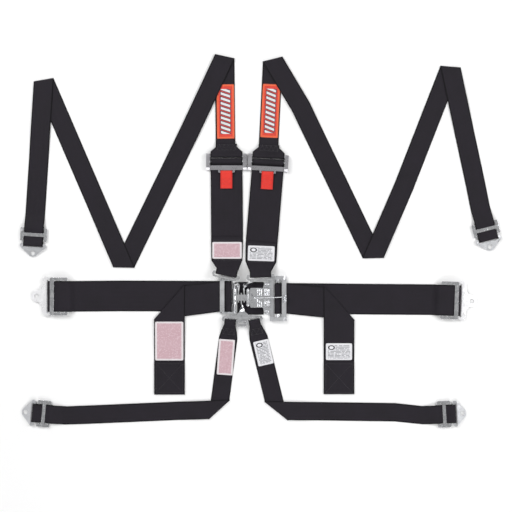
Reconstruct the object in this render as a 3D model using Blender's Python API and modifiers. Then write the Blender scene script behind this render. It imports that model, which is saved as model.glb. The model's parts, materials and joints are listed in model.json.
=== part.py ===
"""Latch-and-link racing harness laid out flat: six straps, their sewn labels and patches, the
adjusters, the tongues on the link, the latch, and an anchor bracket at each strap's end.

Lengths below are millimetres, and MM turns them into metres where a mesh is made. +Z is up. The
origin is under the middle of the link's neck, on the surface that the harness lies on, +X runs to
the latch side and +Y up the shoulder straps. Each fitting is drawn in a frame of its own.
"""

from math import cos, pi, radians, sin

import bmesh
import bpy
from mathutils import Matrix, Vector

MM = 0.001

# Webbing
WEB = 1.5
GAP = 0.4
LAYER = WEB + GAP
FLOOR = WEB / 2
SECOND = FLOOR + LAYER
THIRD = SECOND + LAYER
UPPER_HALF = 24.0
SHOULDER_HALF = 39.0
LAP_HALF = 37.5
SUB_HALF = 22.5
FOLD_STEPS = 6
LABEL = 0.5
PATCH = 0.8
PATCH_RISE = 3.0

# Loops of webbing round a flat bar
PLATE = 3.0
BAR_HALF = 2.5
LOOP_INNER = 3.3
LOOP = LOOP_INNER + WEB / 2
LOOP_Z = WEB + LOOP_INNER
SLOT_FAR = 7.0

# Adjusters, from the locking bar's axis
LOCK_R = 4.0
LOCK_PIN_R = 2.5
LOCK_TRAVEL = 2.0
LOCK_WRAP = LOCK_R + GAP + WEB / 2
LOCK_Z = FLOOR + LOCK_WRAP
FRONT_BAR = (-21.0, -10.0)
FRONT_BAR_Z = (3.8, 6.8)
CHEEK_Z = (0.0, 12.0)
REAR_BAR_X = 14.5
REAR_BAR_R = 3.3
REAR_WRAP = REAR_BAR_R + GAP + WEB / 2
REAR_BAR_Z = FLOOR + REAR_WRAP
TAB_BAR_X = -26.0
TAB_BAR_Z = 7.65
TAB_LOOP = 2.95
TAB_HALF = 14.5
TAB_END = -66.0

# Tongues and link
TONGUE_Z = 17.0
SUB_TONGUE_Z = 8.0
NECK_Z = 8.5
NECK_HALF = 7.5
EYE_X = {"left": -11.0, "sub": -4.0, "right": 3.0}
EYE_HALF_Z = 6.5

# Latch
PIN_X = 12.0
PIN_Z = 13.0
PIN_R = 2.3
RUNNING = 0.3
WALL = (17.0, 19.5)
KNUCKLE = (11.0, 16.0)
LEVER_X = (17.5, 66.0)
LEVER_HALF = 24.0
LEVER_Z = (14.0, 17.0)
RIB_X = (34.5, 39.3, 44.1, 53.2, 58.0, 62.8)
RIB_R = 1.9
BASE_Z = (3.1, 5.6)
RIVETS = ((59.0, 31.0), (59.0, -35.0))
WIRE_R = 1.3


def frame(x, y, angle):
    """A fitting's own axes: +X along the strap at this angle, with its origin on the floor."""
    return Matrix.Translation((x, y, 0)) @ Matrix.Rotation(radians(angle), 4, "Z")


ADJUSTER = {"left": frame(-40.5, 333, 90), "right": frame(61.5, 331, 87)}
HEAD = {"left": frame(-40.5, 58, -102), "right": frame(43, 54, -88)}
LAP_ADJUSTER = {"left": frame(-35.5, 3, 0), "right": frame(85, -2, 180)}
SUB_LOOP = {"left": frame(-31, -57.5, 83), "right": frame(28, -57.5, 102)}
SHOULDER_END = {"left": frame(-513.5, 130, 266.4), "right": frame(600, 144, 284.1)}
LAP_END = {"left": frame(-473, 3, 180), "right": frame(528, -7.5, -2)}
SUB_END = {"left": frame(-511.5, -282, 175), "right": frame(516.5, -284, 3)}


# --- Scene, materials and objects ---------------------------------------------------------


def clear_scene():
    for obj in list(bpy.data.objects):
        bpy.data.objects.remove(obj, do_unlink=True)


def collection(name):
    made = bpy.data.collections.new(name)
    bpy.context.scene.collection.children.link(made)
    return made


def material(name, color, roughness, metallic):
    made = bpy.data.materials.new(name)
    made.use_nodes = True
    shader = made.node_tree.nodes["Principled BSDF"]
    shader.inputs["Base Color"].default_value = (*color, 1)
    shader.inputs["Roughness"].default_value = roughness
    shader.inputs["Metallic"].default_value = metallic
    return made


clear_scene()
PARTS = collection("racing_harness")
CUTTERS = collection("cutters")
BLACK = material("black_webbing", (0.022, 0.021, 0.026), 0.85, 0)
RED = material("red_webbing", (0.80, 0.04, 0.03), 0.75, 0)
PINK = material("warning_label", (0.80, 0.52, 0.56), 0.7, 0)
WHITE = material("maker_label", (0.82, 0.82, 0.84), 0.7, 0)
PATCH_RED = material("shoulder_patch", (0.80, 0.05, 0.03), 0.7, 0)
ZINC = material("zinc_steel", (0.66, 0.67, 0.69), 0.38, 1)
CHROME = material("chrome", (0.86, 0.87, 0.89), 0.12, 1)
LABEL_KIND = {"left": PINK, "right": WHITE}


def add(name, bm, mat, axis_point=(0, 0, 0)):
    """A node from a bmesh in millimetres, with its origin at axis_point."""
    move = Vector(axis_point)
    bmesh.ops.remove_doubles(bm, verts=bm.verts, dist=0.002)
    bmesh.ops.recalc_face_normals(bm, faces=bm.faces)
    bmesh.ops.translate(bm, verts=bm.verts, vec=-move)
    bmesh.ops.scale(bm, verts=bm.verts, vec=(MM, MM, MM))
    mesh = bpy.data.meshes.new(name)
    bm.to_mesh(mesh)
    bm.free()
    mesh.materials.append(mat)
    obj = bpy.data.objects.new(name, mesh)
    obj.location = move * MM
    PARTS.objects.link(obj)
    return obj


def combine(obj, bm, operation):
    """Joins a shape to obj or cuts it out, with the shape kept as a hidden helper."""
    helper = add(f"{obj.name}_{operation.lower()}", bm, obj.data.materials[0])
    PARTS.objects.unlink(helper)
    CUTTERS.objects.link(helper)
    helper.hide_render = True
    helper.display_type = "WIRE"
    modifier = obj.modifiers.new(operation.title(), "BOOLEAN")
    modifier.operation = operation
    modifier.solver = "EXACT"
    modifier.object = helper


def join(obj, bm):
    combine(obj, bm, "UNION")


def cut(obj, bm):
    combine(obj, bm, "DIFFERENCE")


# --- Shapes -------------------------------------------------------------------------------


def box(x, y, z, place=Matrix.Identity(4)):
    bm = bmesh.new()
    bmesh.ops.create_cube(bm, size=1)
    size = Vector((x[1] - x[0], y[1] - y[0], z[1] - z[0]))
    middle = Vector((x[0] + x[1], y[0] + y[1], z[0] + z[1])) / 2
    bmesh.ops.transform(
        bm, matrix=place @ Matrix.Translation(middle) @ Matrix.Diagonal((*size, 1)), verts=bm.verts
    )
    return bm


def rod(start, end, radius, place=Matrix.Identity(4), sides=20):
    """A cylinder between two points of a fitting's frame."""
    start, end = Vector(start), Vector(end)
    along = end - start
    bm = bmesh.new()
    bmesh.ops.create_cone(
        bm, cap_ends=True, segments=sides, radius1=radius, radius2=radius, depth=along.length
    )
    turn = Vector((0, 0, 1)).rotation_difference(along).to_matrix().to_4x4()
    bmesh.ops.transform(
        bm, matrix=place @ Matrix.Translation((start + end) / 2) @ turn, verts=bm.verts
    )
    return bm


def rounded(corners, steps=4):
    """An outline from (x, y, radius) corners, each corner an arc of its radius."""
    points = []
    for i, (x, y, radius) in enumerate(corners):
        here = Vector((x, y))
        before = (Vector(corners[i - 1][:2]) - here).normalized()
        after = (Vector(corners[(i + 1) % len(corners)][:2]) - here).normalized()
        if radius == 0:
            points.append(here)
            continue
        half = before.angle(after) / 2
        from_corner = radius * cos(half) / sin(half)
        middle = here + (before + after).normalized() * radius / sin(half)
        first = here + before * from_corner - middle
        last = here + after * from_corner - middle
        sweep = first.angle_signed(last)
        for k in range(steps + 1):
            turn = Matrix.Rotation(-sweep * k / steps, 2)
            points.append(middle + turn @ first)
    return points


def circle(x, y, radius, sides=24):
    return [
        Vector((x + radius * cos(2 * pi * k / sides), y + radius * sin(2 * pi * k / sides)))
        for k in range(sides)
    ]


def slot(x, y, radius, place=None):
    """A rectangular hole with rounded corners, as an outline; place turns it in the plane."""
    corners = [(x[0], y[0]), (x[1], y[0]), (x[1], y[1]), (x[0], y[1])]
    if place is not None:
        corners = [(place @ Vector((*c, 0)))[:2] for c in corners]
    return rounded([(*c, radius) for c in corners], 3)


def plate(outline, holes, z, place=Matrix.Identity(4)):
    """A flat outline with holes, filled and made as thick as z says."""
    curve = bpy.data.curves.new("outline", "CURVE")
    curve.dimensions = "2D"
    curve.fill_mode = "BOTH"
    curve.extrude = (z[1] - z[0]) / 2
    for ring in [outline, *holes]:
        spline = curve.splines.new("POLY")
        spline.points.add(len(ring) - 1)
        spline.use_cyclic_u = True
        for point, corner in zip(spline.points, ring):
            point.co = (corner[0], corner[1], 0, 1)
    flat = bpy.data.objects.new("outline", curve)
    CUTTERS.objects.link(flat)
    graph = bpy.context.evaluated_depsgraph_get()
    mesh = bpy.data.meshes.new_from_object(flat.evaluated_get(graph))
    bm = bmesh.new()
    bm.from_mesh(mesh)
    bpy.data.objects.remove(flat)
    bpy.data.curves.remove(curve)
    bpy.data.meshes.remove(mesh)
    bmesh.ops.remove_doubles(bm, verts=bm.verts, dist=0.002)
    bmesh.ops.transform(
        bm, matrix=place @ Matrix.Translation((0, 0, sum(z) / 2)), verts=bm.verts
    )
    return bm


def sheared(bm, bend_x, slope):
    """Bends a plate down beyond the line x = bend_x of its own frame."""
    geometry = [*bm.verts, *bm.edges, *bm.faces]
    bmesh.ops.bisect_plane(bm, geom=geometry, plane_co=(bend_x, 0, 0), plane_no=(1, 0, 0))
    for vert in bm.verts:
        vert.co.z -= max(0, vert.co.x - bend_x) * slope
    return bm


def strip_solid(name, lines, thickness, mat, axis_point=(0, 0, 0)):
    """A band from the cross lines of its middle surface, thickened to both sides."""
    bm = bmesh.new()
    pairs = [(bm.verts.new(a), bm.verts.new(b)) for a, b in lines]
    for (a, b), (c, d) in zip(pairs, pairs[1:]):
        bm.faces.new((a, b, d, c))
    obj = add(name, bm, mat, axis_point)
    solid = obj.modifiers.new("Solidify", "SOLIDIFY")
    solid.thickness = thickness * MM
    solid.offset = 0
    solid.use_even_offset = True
    return obj


def arc(x, z, radius, start, end, steps=FOLD_STEPS):
    """Points (x, z) of an arc, with its angles in degrees."""
    return [
        (
            x + radius * cos(radians(start + (end - start) * k / steps)),
            z + radius * sin(radians(start + (end - start) * k / steps)),
        )
        for k in range(steps + 1)
    ]


class Strap:
    """The cross lines of one strap's middle surface, in the order that the strap runs.

    The same woven edge stays first in each line, so side changes at each turn-over.
    """

    def __init__(self, half):
        self.half = half
        self.side = 1
        self.lines = []

    def profile(self, place, points, heading=1, turns=False):
        """Points (x, z) or (x, z, half) in the middle plane of a fitting."""
        for x, z, *half in points:
            y = self.side * heading * (half[0] if half else self.half)
            self.lines.append((place @ Vector((x, y, z)), place @ Vector((x, -y, z))))
        if turns:
            self.side = -self.side

    def run(self, before, points, after):
        """Points (x, y, z) on the floor plan, with "half" or "rise" as a fourth value's key."""
        plan = [Vector(before[:2]), *(Vector(p[:2]) for p in points), Vector(after[:2])]
        for i, (x, y, z, *more) in enumerate(points, 1):
            options = more[0] if more else {}
            half = options.get("half", self.half)
            arrive = (plan[i] - plan[i - 1]).normalized()
            leave = (plan[i + 1] - plan[i]).normalized()
            if "rise" in options:
                self.fold(Vector((x, y, z)), arrive, leave, half, options["rise"])
            else:
                ahead = (arrive + leave).normalized()
                across = Vector((-ahead.y, ahead.x, 0)) * half * self.side / ahead.dot(arrive)
                middle = Vector((x, y, z))
                self.lines.append((middle + across, middle - across))

    def fold(self, middle, arrive, leave, half, rise):
        """Turns the strap over a crease, and leaves it rise higher than it came."""
        out = (arrive - leave).normalized()
        crease = Vector((-out.y, out.x))
        reach = half / abs(arrive.cross(crease))
        if crease.dot(Vector((-arrive.y, arrive.x))) < 0:
            crease = -crease
        across = Vector((crease.x, crease.y, 0)) * reach * self.side
        for k in range(FOLD_STEPS + 1):
            turn = -pi / 2 + pi * k / FOLD_STEPS
            shift = out * abs(rise) / 2 * cos(turn)
            centre = middle + Vector((shift.x, shift.y, rise / 2 * (1 + sin(turn))))
            self.lines.append((centre + across, centre - across))
        self.side = -self.side

    def solid(self, name, mat=BLACK, axis_point=(0, 0, 0)):
        return strip_solid(name, self.lines, WEB, mat, axis_point)


# --- Webbing round the fittings, as (x, z) in each fitting's frame -----------------------------


def narrow_end():
    """Over a slide's first bar, under its middle bar, over its last, round the bracket, and back."""
    return [
        (-78, FLOOR), (-44, 6.95), (-36.5, 6.95), (-28.8, SECOND), (-18.7, SECOND),
        (-12.6, 6.95), (-7.5, 6.95), (-2.5, LOOP_Z + LOOP),
        *arc(0, LOOP_Z, LOOP, 90, -90), (-44, FLOOR),
    ]


def wide_end():
    """Over a slide's first two bars, down under its last, round the bracket, and back."""
    return [
        (-62, FLOOR), (-48, 13.15), (-19.3, 13.15), (-12.5, 7.7), (-3, LOOP_Z + LOOP - 0.1),
        *arc(0, LOOP_Z, LOOP, 90, -90), (-52, FLOOR),
    ]


def lock_wrap():
    """From the tail over the locking bar, with room for its travel, and back along the floor."""
    over = arc(-LOCK_WRAP - 2.25, SECOND + 2.25, 2.25, -90, 0, 3)
    return [
        *over,
        *arc(0, LOCK_Z, LOCK_WRAP, 180, 90, 4),
        *arc(LOCK_TRAVEL, LOCK_Z, LOCK_WRAP, 90, -90),
    ]


def head_loop(z):
    """From the top of a tongue's bar, round its nose, to the layer below it."""
    return [(-9, z + LOOP - 0.4), *arc(0, z, LOOP, 90, -90), (-9, z - LOOP)]


# --- Straps ---------------------------------------------------------------------------------


def upper_straps():
    left = Strap(UPPER_HALF)
    left.run(
        (-43, 340),
        [
            (-43, 353, SECOND), (-43, 378, SECOND), (-43, 390, FLOOR),
            (-45, 589, FLOOR, {"rise": PATCH_RISE}),
            (-95, 482, FLOOR + PATCH_RISE), (-130, 408, 2.4), (-170, 326, FLOOR),
            (-292, 75, FLOOR, {"rise": LAYER}),
            (-323.5, 148.5, SECOND), (-351, 213, FLOOR),
            (-488, 532, FLOOR, {"rise": LAYER}),
            (-496, 407, SECOND), (-500, 342, FLOOR),
        ],
        SHOULDER_END["left"].translation,
    )
    right = Strap(UPPER_HALF)
    right.run(
        (61.5, 340),
        [
            (62.2, 351, SECOND), (62.9, 376, SECOND), (63.4, 388, FLOOR),
            (73, 582, FLOOR, {"rise": PATCH_RISE}),
            (133.4, 480.6, FLOOR + PATCH_RISE), (141, 468, 3.5), (181, 385, FLOOR),
            (319, 98, FLOOR, {"rise": LAYER}),
            (350.7, 171.4, SECOND), (378.4, 235.7, FLOOR), (394, 272, FLOOR),
            (508, 564, FLOOR, {"rise": LAYER}),
            (529, 466, SECOND), (542.6, 402.6, FLOOR), (570, 275, FLOOR),
        ],
        SHOULDER_END["right"].translation,
    )
    for side, strap in (("left", left), ("right", right)):
        strap.profile(SHOULDER_END[side], narrow_end(), turns=True)
        strap.solid(f"{side}_upper_strap")


def transitions():
    """The wide loop round each adjuster's rear bar, sewn over the end of the upper strap."""
    for side, place in ADJUSTER.items():
        loop = Strap(SHOULDER_HALF)
        narrow = UPPER_HALF + 1.5
        loop.profile(
            place,
            [
                (43, THIRD, narrow), (36, THIRD, narrow), (24, THIRD + 1.5),
                (REAR_BAR_X, REAR_BAR_Z + REAR_WRAP),
                *arc(REAR_BAR_X, REAR_BAR_Z, REAR_WRAP, 90, 270)[1:],
                (24, FLOOR), (36, FLOOR, narrow), (43, FLOOR, narrow),
            ],
            heading=-1,
        )
        loop.solid(f"{side}_transition", axis_point=place @ Vector((REAR_BAR_X, 0, REAR_BAR_Z)))


def lower_straps():
    ways = {
        "left": {
            "tail": [(-39, 151, SECOND), (-40, 290, SECOND)],
            "main": [
                (-40, 290, FLOOR), (-39, 149, FLOOR), (-39, 139, SECOND),
                (-39.3, 91, SECOND, {"half": 38}),
            ],
            "back": [(-39.3, 91, FLOOR, {"half": 38}), (-39, 137, FLOOR)],
        },
        "right": {
            "tail": [(46, 138, SECOND), (58.5, 290, SECOND)],
            "main": [
                (58.5, 290, FLOOR), (45.8, 136, FLOOR), (45.3, 129, SECOND),
                (43.8, 88, SECOND, {"half": 38}),
            ],
            "back": [(43.8, 88, FLOOR, {"half": 38}), (45.2, 127, FLOOR)],
        },
    }
    for side, way in ways.items():
        bar, head = ADJUSTER[side], HEAD[side]
        under_bar, at_head = bar @ Vector((FRONT_BAR[0], 0, 0)), head @ Vector((-9, 0, 0))
        strap = Strap(SHOULDER_HALF)
        strap.run(way["main"][1], way["tail"], under_bar)
        strap.profile(bar, [(FRONT_BAR[0], SECOND), *lock_wrap(), (FRONT_BAR[0], FLOOR)], turns=True)
        strap.run(under_bar, way["main"], at_head)
        strap.profile(head, [(x, z, 26) for x, z in head_loop(TONGUE_Z)], turns=True)
        strap.run(at_head, way["back"], way["main"][1])
        strap.solid(f"{side}_lower_strap")


def lap_straps():
    ways = {
        "left": {
            "hem": (-180, -158, SECOND), "end": (-180, -236, SECOND, {"rise": -LAYER}),
            "up": [(-180, -160, FLOOR), (-180, -57, SECOND + LAYER)],
            "crease": (-180, -13, SECOND + LAYER, {"rise": -LAYER}),
            "main": [(-300, 4, FLOOR)],
        },
        "right": {
            "hem": (235, -158, SECOND), "end": (235, -235, SECOND, {"rise": -LAYER}),
            "up": [(235, -160, FLOOR), (235, -57, SECOND + LAYER)],
            "crease": (235, -15, SECOND + LAYER, {"rise": -LAYER}),
            "main": [(300, -4, FLOOR)],
        },
    }
    for side, way in ways.items():
        bar, end = LAP_ADJUSTER[side], LAP_END[side]
        under_bar = bar @ Vector((FRONT_BAR[0], 0, 0))
        strap = Strap(LAP_HALF)
        strap.run(way["crease"], [way["hem"], way["end"], *way["up"], way["crease"]], under_bar)
        strap.profile(bar, [(FRONT_BAR[0], SECOND), *lock_wrap(), (FRONT_BAR[0], FLOOR)], turns=True)
        strap.run(under_bar, way["main"], end.translation)
        strap.profile(end, wide_end(), turns=True)
        strap.solid(f"{side}_lap_strap")


def sub_straps():
    ways = {
        "left": [
            (-36, -98, FLOOR), (-59, -274, FLOOR, {"rise": LAYER}),
            (-115, -276, SECOND), (-160, -277.5, FLOOR), (-380, -287, FLOOR),
        ],
        "right": [
            (38, -98, FLOOR), (82, -277, FLOOR, {"rise": LAYER}),
            (138, -278, SECOND), (185, -278.5, FLOOR), (372, -281, FLOOR),
        ],
    }
    for side, way in ways.items():
        head, end = SUB_LOOP[side], SUB_END[side]
        strap = Strap(SUB_HALF)
        strap.profile(
            head,
            [(-34, FLOOR, 20), (-24, FLOOR, 18)]
            + [(x, z, 14) for x, z in reversed(head_loop(SUB_TONGUE_Z))]
            + [(-25, SECOND + 1, 19)],
            turns=True,
        )
        strap.run(head.translation, way, end.translation)
        strap.profile(end, narrow_end(), turns=True)
        strap.solid(f"{side}_sub_strap")


# --- Labels, patches and tabs ------------------------------------------------------------------


def tag(name, x, y, angle, width, length, base, mat, thickness=LABEL):
    """A sewn rectangle on the webbing, its length along the strap."""
    outline = rounded(
        [(sx * width / 2, sy * length / 2, 1.5) for sx, sy in ((-1, -1), (1, -1), (1, 1), (-1, 1))], 2
    )
    add(name, plate(outline, [], (base, base + thickness), frame(x, y, angle)), mat)


def tags():
    low, high = WEB + GAP, SECOND + WEB / 2 + GAP
    tag("left_patch", -42.7, 455.5, 0.6, 43, 133, low - 0.1, PATCH_RED, PATCH)
    tag("right_patch", 67, 457, -2.8, 43, 131, low - 0.1, PATCH_RED, PATCH)
    tag("left_lower_label", -39, 115.5, 0, 72, 41, high, PINK)
    tag("right_lower_label", 44.5, 108, -2, 65, 37, high, WHITE)
    tag("left_sub_label", -42, -146, -4, 39, 87, low, PINK)
    tag("right_sub_label", 50, -135, 13, 38, 61, low, WHITE)


def lap_labels():
    """Labels on the lap tails, which slope up to the crease."""
    slope = 2 * LAYER / (160 - 57)
    for side, x, half, y0, y1 in (("left", -180.5, 34.5, -154, -59), ("right", 235, 32, -153, -112)):
        lift = WEB / 2 + GAP + LABEL / 2
        lines = [
            tuple(Vector((x + s * half, y, FLOOR + (y + 160) * slope + lift)) for s in (-1, 1))
            for y in (y0, y1)
        ]
        strip_solid(f"{side}_lap_label", lines, LABEL, LABEL_KIND[side])


def pull_tabs():
    for side, place in ADJUSTER.items():
        tab = Strap(TAB_HALF)
        tab.profile(
            place,
            [
                (TAB_END, TAB_BAR_Z - TAB_LOOP), (TAB_BAR_X, TAB_BAR_Z - TAB_LOOP),
                *arc(TAB_BAR_X, TAB_BAR_Z, TAB_LOOP, -90, 90)[1:],
                (TAB_BAR_X - 14, TAB_BAR_Z - TAB_LOOP + LAYER),
                (TAB_END, TAB_BAR_Z - TAB_LOOP + LAYER),
            ],
        )
        tab.solid(f"{side}_pull_tab", RED, place @ Vector((TAB_BAR_X, 0, TAB_BAR_Z)))


# --- Anchors ------------------------------------------------------------------------------------

NARROW_BRACKET = {
    "outline": [
        (-BAR_HALF, -29.5, 2.4), (4, -34, 6), (29.5, -5.5, 7.5), (29.5, 5.5, 7.5), (4, 34, 6),
        (-BAR_HALF, 29.5, 2.4),
    ],
    "slot": 25.5, "hole": 20.5, "bend": 8.5, "reach": 31.0,
}
WIDE_BRACKET = {
    "outline": [
        (-BAR_HALF, -46, 2.4), (10, -49, 7), (17, -45, 5), (19, -22, 8), (26, -14.5, 8),
        (45.5, -13.6, 12.5), (45.5, 13.6, 12.5), (26, 14.5, 8), (19, 22, 8), (17, 45, 5),
        (10, 49, 7), (-BAR_HALF, 46, 2.4),
    ],
    "slot": 40.5, "hole": 32.0, "bend": 12.0, "reach": 45.0,
}
BOLT_R = 5.9


def bracket(name, shape, place):
    """A strap anchor: a bar for the webbing, a slot, and a bolt tab that dips to the floor."""
    outline = rounded(shape["outline"], 5)
    holes = [
        slot((BAR_HALF, SLOT_FAR), (-shape["slot"], shape["slot"]), 2),
        circle(shape["hole"], 0, BOLT_R, 28),
    ]
    base = LOOP_Z - PLATE / 2
    bm = plate(outline, holes, (base, base + PLATE))
    sheared(bm, shape["bend"], base / (shape["reach"] - shape["bend"]))
    bmesh.ops.transform(bm, matrix=place, verts=bm.verts)
    add(name, bm, ZINC, place @ Vector((0, 0, LOOP_Z)))


def slide(name, x, half, openings, slot_half, z, place):
    """A three-bar slide, as a plate with two slots."""
    corners = [(x[0], -half, 3), (x[1], -half, 3), (x[1], half, 3), (x[0], half, 3)]
    holes = [slot(o, (-slot_half, slot_half), 1.5) for o in openings]
    add(name, plate(rounded(corners, 4), holes, z, place), CHROME)


def anchors():
    for side in ("left", "right"):
        for kind, ends in (("shoulder", SHOULDER_END), ("sub", SUB_END)):
            place = ends[side]
            bracket(f"{side}_{kind}_bracket", NARROW_BRACKET, place)
            slide(
                f"{side}_{kind}_slide", (-41, -8), 32.5, ((-37, -28), (-19.5, -12)), 25.5,
                (3.8, 5.8), place,
            )
        place = LAP_END[side]
        bracket(f"{side}_lap_bracket", WIDE_BRACKET, place)
        slide(
            f"{side}_lap_slide", (-45, -1.5), 46, ((-39, -26), (-20, -11.5)), 39.5,
            (10, 12), place,
        )


# --- Adjusters ------------------------------------------------------------------------------------


def adjuster(name, place, inner, outer, rear_bar):
    """A frame of two cheeks, a flat front bar and a rear bar, with slots for the locking bar."""
    low, high = CHEEK_Z
    obj = add(
        name,
        box(FRONT_BAR, (-outer + 1, outer - 1), FRONT_BAR_Z, place),
        ZINC,
    )
    for sign in (-1, 1):
        span = sorted((sign * inner, sign * outer))
        side_view = rounded(
            [(FRONT_BAR[0] - 0.8, low, 2), (REAR_BAR_X + 4.8, low, 2),
             (REAR_BAR_X + 4.8, high - 1, 4), (FRONT_BAR[0] + 6, high, 4),
             (FRONT_BAR[0] - 0.8, 7.5, 1.5)], 3
        )
        upright = place @ Matrix.Rotation(pi / 2, 4, "X")
        join(obj, plate(side_view, [], (-span[1], -span[0]), upright))
    if rear_bar:
        ends = [(REAR_BAR_X, sign * (inner + 1), rear_bar) for sign in (-1, 1)]
        join(obj, rod(*ends, REAR_BAR_R, place))
    reach = LOCK_PIN_R + RUNNING
    window = rounded(
        [(-reach, LOCK_Z - reach, reach * 0.98), (reach + LOCK_TRAVEL, LOCK_Z - reach, reach * 0.98),
         (reach + LOCK_TRAVEL, LOCK_Z + reach, reach * 0.98), (-reach, LOCK_Z + reach, reach * 0.98)], 4
    )
    depth = min(4.0, outer - inner + 1)
    for sign in (-1, 1):
        span = sorted((sign * (inner - 1), sign * (inner + depth)))
        upright = place @ Matrix.Rotation(pi / 2, 4, "X")
        cut(obj, plate(window, [], (-span[1], -span[0]), upright))
    return obj


def locking_bar(name, place, inner, pin_reach):
    """A bar turned as one piece, with thinner ends that ride in the frame's slots."""
    body = inner - 0.5
    profile = [
        (0, pin_reach), (LOCK_PIN_R, pin_reach), (LOCK_PIN_R, body), (LOCK_R, body),
        (LOCK_R, -body), (LOCK_PIN_R, -body), (LOCK_PIN_R, -pin_reach), (0, -pin_reach),
    ]
    mesh = bpy.data.meshes.new(name)
    points = [(r * MM, 0, along * MM) for r, along in profile]
    mesh.from_pydata(points, [(k, k + 1) for k in range(len(points) - 1)], [])
    mesh.materials.append(CHROME)
    obj = bpy.data.objects.new(name, mesh)
    PARTS.objects.link(obj)
    turned = obj.modifiers.new("Screw", "SCREW")
    turned.steps = turned.render_steps = 24
    turned.use_merge_vertices = True
    turned.merge_threshold = 0.00001
    turned.use_smooth_shade = False
    centre = place @ Vector((0, 0, LOCK_Z))
    turn = place.to_3x3().to_4x4() @ Matrix.Rotation(pi / 2, 4, "X")
    obj.matrix_world = Matrix.Translation(centre * MM) @ turn
    return obj


def adjusters():
    for side, place in ADJUSTER.items():
        inner, outer = SHOULDER_HALF + 1.5, 49.5
        obj = adjuster(f"{side}_adjuster", place, inner, outer, REAR_BAR_Z)
        ear_z = (TAB_BAR_Z - 1.25, TAB_BAR_Z + 1.25)
        ear = rounded([(-27.3, -20, 1.5), (-14, -20, 1), (-14, 20, 1), (-27.3, 20, 1.5)], 3)
        join(obj, plate(ear, [slot((-24.7, -21.6), (-15.5, 15.5), 0.8)], ear_z, place))
        locking_bar(f"{side}_locking_bar", place, inner, inner + 3.5)
    for side, place, inner, outer in (
        ("left", LAP_ADJUSTER["left"], LAP_HALF + 0.8, LAP_HALF + 4),
        ("right", LAP_ADJUSTER["right"], 45.5, 55),
    ):
        bar_z = 6.5 if side == "left" else None
        obj = adjuster(f"{side}_lap_adjuster", place, inner, outer, bar_z)
        if side == "right":
            rear = rounded([(10, -46.5, 0), (18, -46.5, 0), (20, -38, 5), (33, -38, 6), (33, 38, 6),
                            (20, 38, 5), (18, 46.5, 0), (10, 46.5, 0)], 4)
            holes = [circle(26, sy * 33, 2.5 + RUNNING, 20) for sy in (-1, 1)]
            join(obj, plate(rear, holes, (0.3, 2.7), place))
        pins = inner + 2.7 if side == "left" else inner + 3.5
        locking_bar(f"{side}_lap_locking_bar", place, inner, pins)


# --- Tongues and link ---------------------------------------------------------------------------------


def arm(stations, thickness=PLATE):
    """A flat bar that twists along its way, from (centre, across) stations; a closed bmesh."""
    bm = bmesh.new()
    rings = []
    for i, (centre, across) in enumerate(stations):
        centre, across = Vector(centre), Vector(across)
        ahead = Vector(stations[min(i + 1, len(stations) - 1)][0]) - Vector(stations[max(i - 1, 0)][0])
        up = ahead.cross(across).normalized() * thickness / 2
        corners = (centre + across + up, centre - across + up, centre - across - up, centre + across - up)
        rings.append([bm.verts.new(c) for c in corners])
    for a, b in zip(rings, rings[1:]):
        for k in range(4):
            bm.faces.new((a[k], a[(k + 1) % 4], b[(k + 1) % 4], b[k]))
    bm.faces.new(rings[0])
    bm.faces.new(rings[-1])
    bmesh.ops.recalc_face_normals(bm, faces=bm.faces)
    return bm


def eye_slot(x):
    reach = 1.0
    return box(
        (x - 4, x + 4), (-NECK_HALF - reach, NECK_HALF + reach), (NECK_Z - 2.1, NECK_Z + 2.1)
    )


def shoulder_tongues():
    """A slotted head, and an arm that twists on edge to its eye on the link."""
    for side, place in HEAD.items():
        inner = 1 if side == "left" else -1
        z = (TONGUE_Z - PLATE / 2, TONGUE_Z + PLATE / 2)
        outline = rounded(
            [(-BAR_HALF, -32, 2), (4, -34.5, 4), (10.5, -32, 4), (12, -12 if inner < 0 else -28, 6),
             (12, 28 if inner < 0 else 12, 6), (10.5, 32, 4), (4, 34.5, 4), (-BAR_HALF, 32, 2)], 4
        )
        obj = add(
            f"{side}_tongue",
            plate(outline, [slot((BAR_HALF, SLOT_FAR + 0.5), (-28, 28), 2)], z, place),
            CHROME,
            place @ Vector((0, 0, TONGUE_Z)),
        )
        eye = EYE_X[side]
        root = place @ Vector((9.8, inner * 20, TONGUE_Z))
        leave = place @ Vector((15, inner * 23.5, TONGUE_Z))
        level = place.to_3x3() @ Vector((0, inner * 5, 0))
        knee = Vector((eye - inner * 2.3, leave.y - 7, TONGUE_Z - 0.8))
        join(
            obj,
            arm(
                [
                    (root, level),
                    (leave, level),
                    (knee, (inner * 4.2, 1.2, 4.2)),
                    ((eye - inner * 0.6, knee.y - 8, NECK_Z + 2.4), (inner * 1.6, 0.3, 6.2)),
                    ((eye, 14, NECK_Z), (0, 0, EYE_HALF_Z)),
                    ((eye, -11.5, NECK_Z), (0, 0, EYE_HALF_Z)),
                ]
            ),
        )
        cut(obj, eye_slot(eye))


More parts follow.
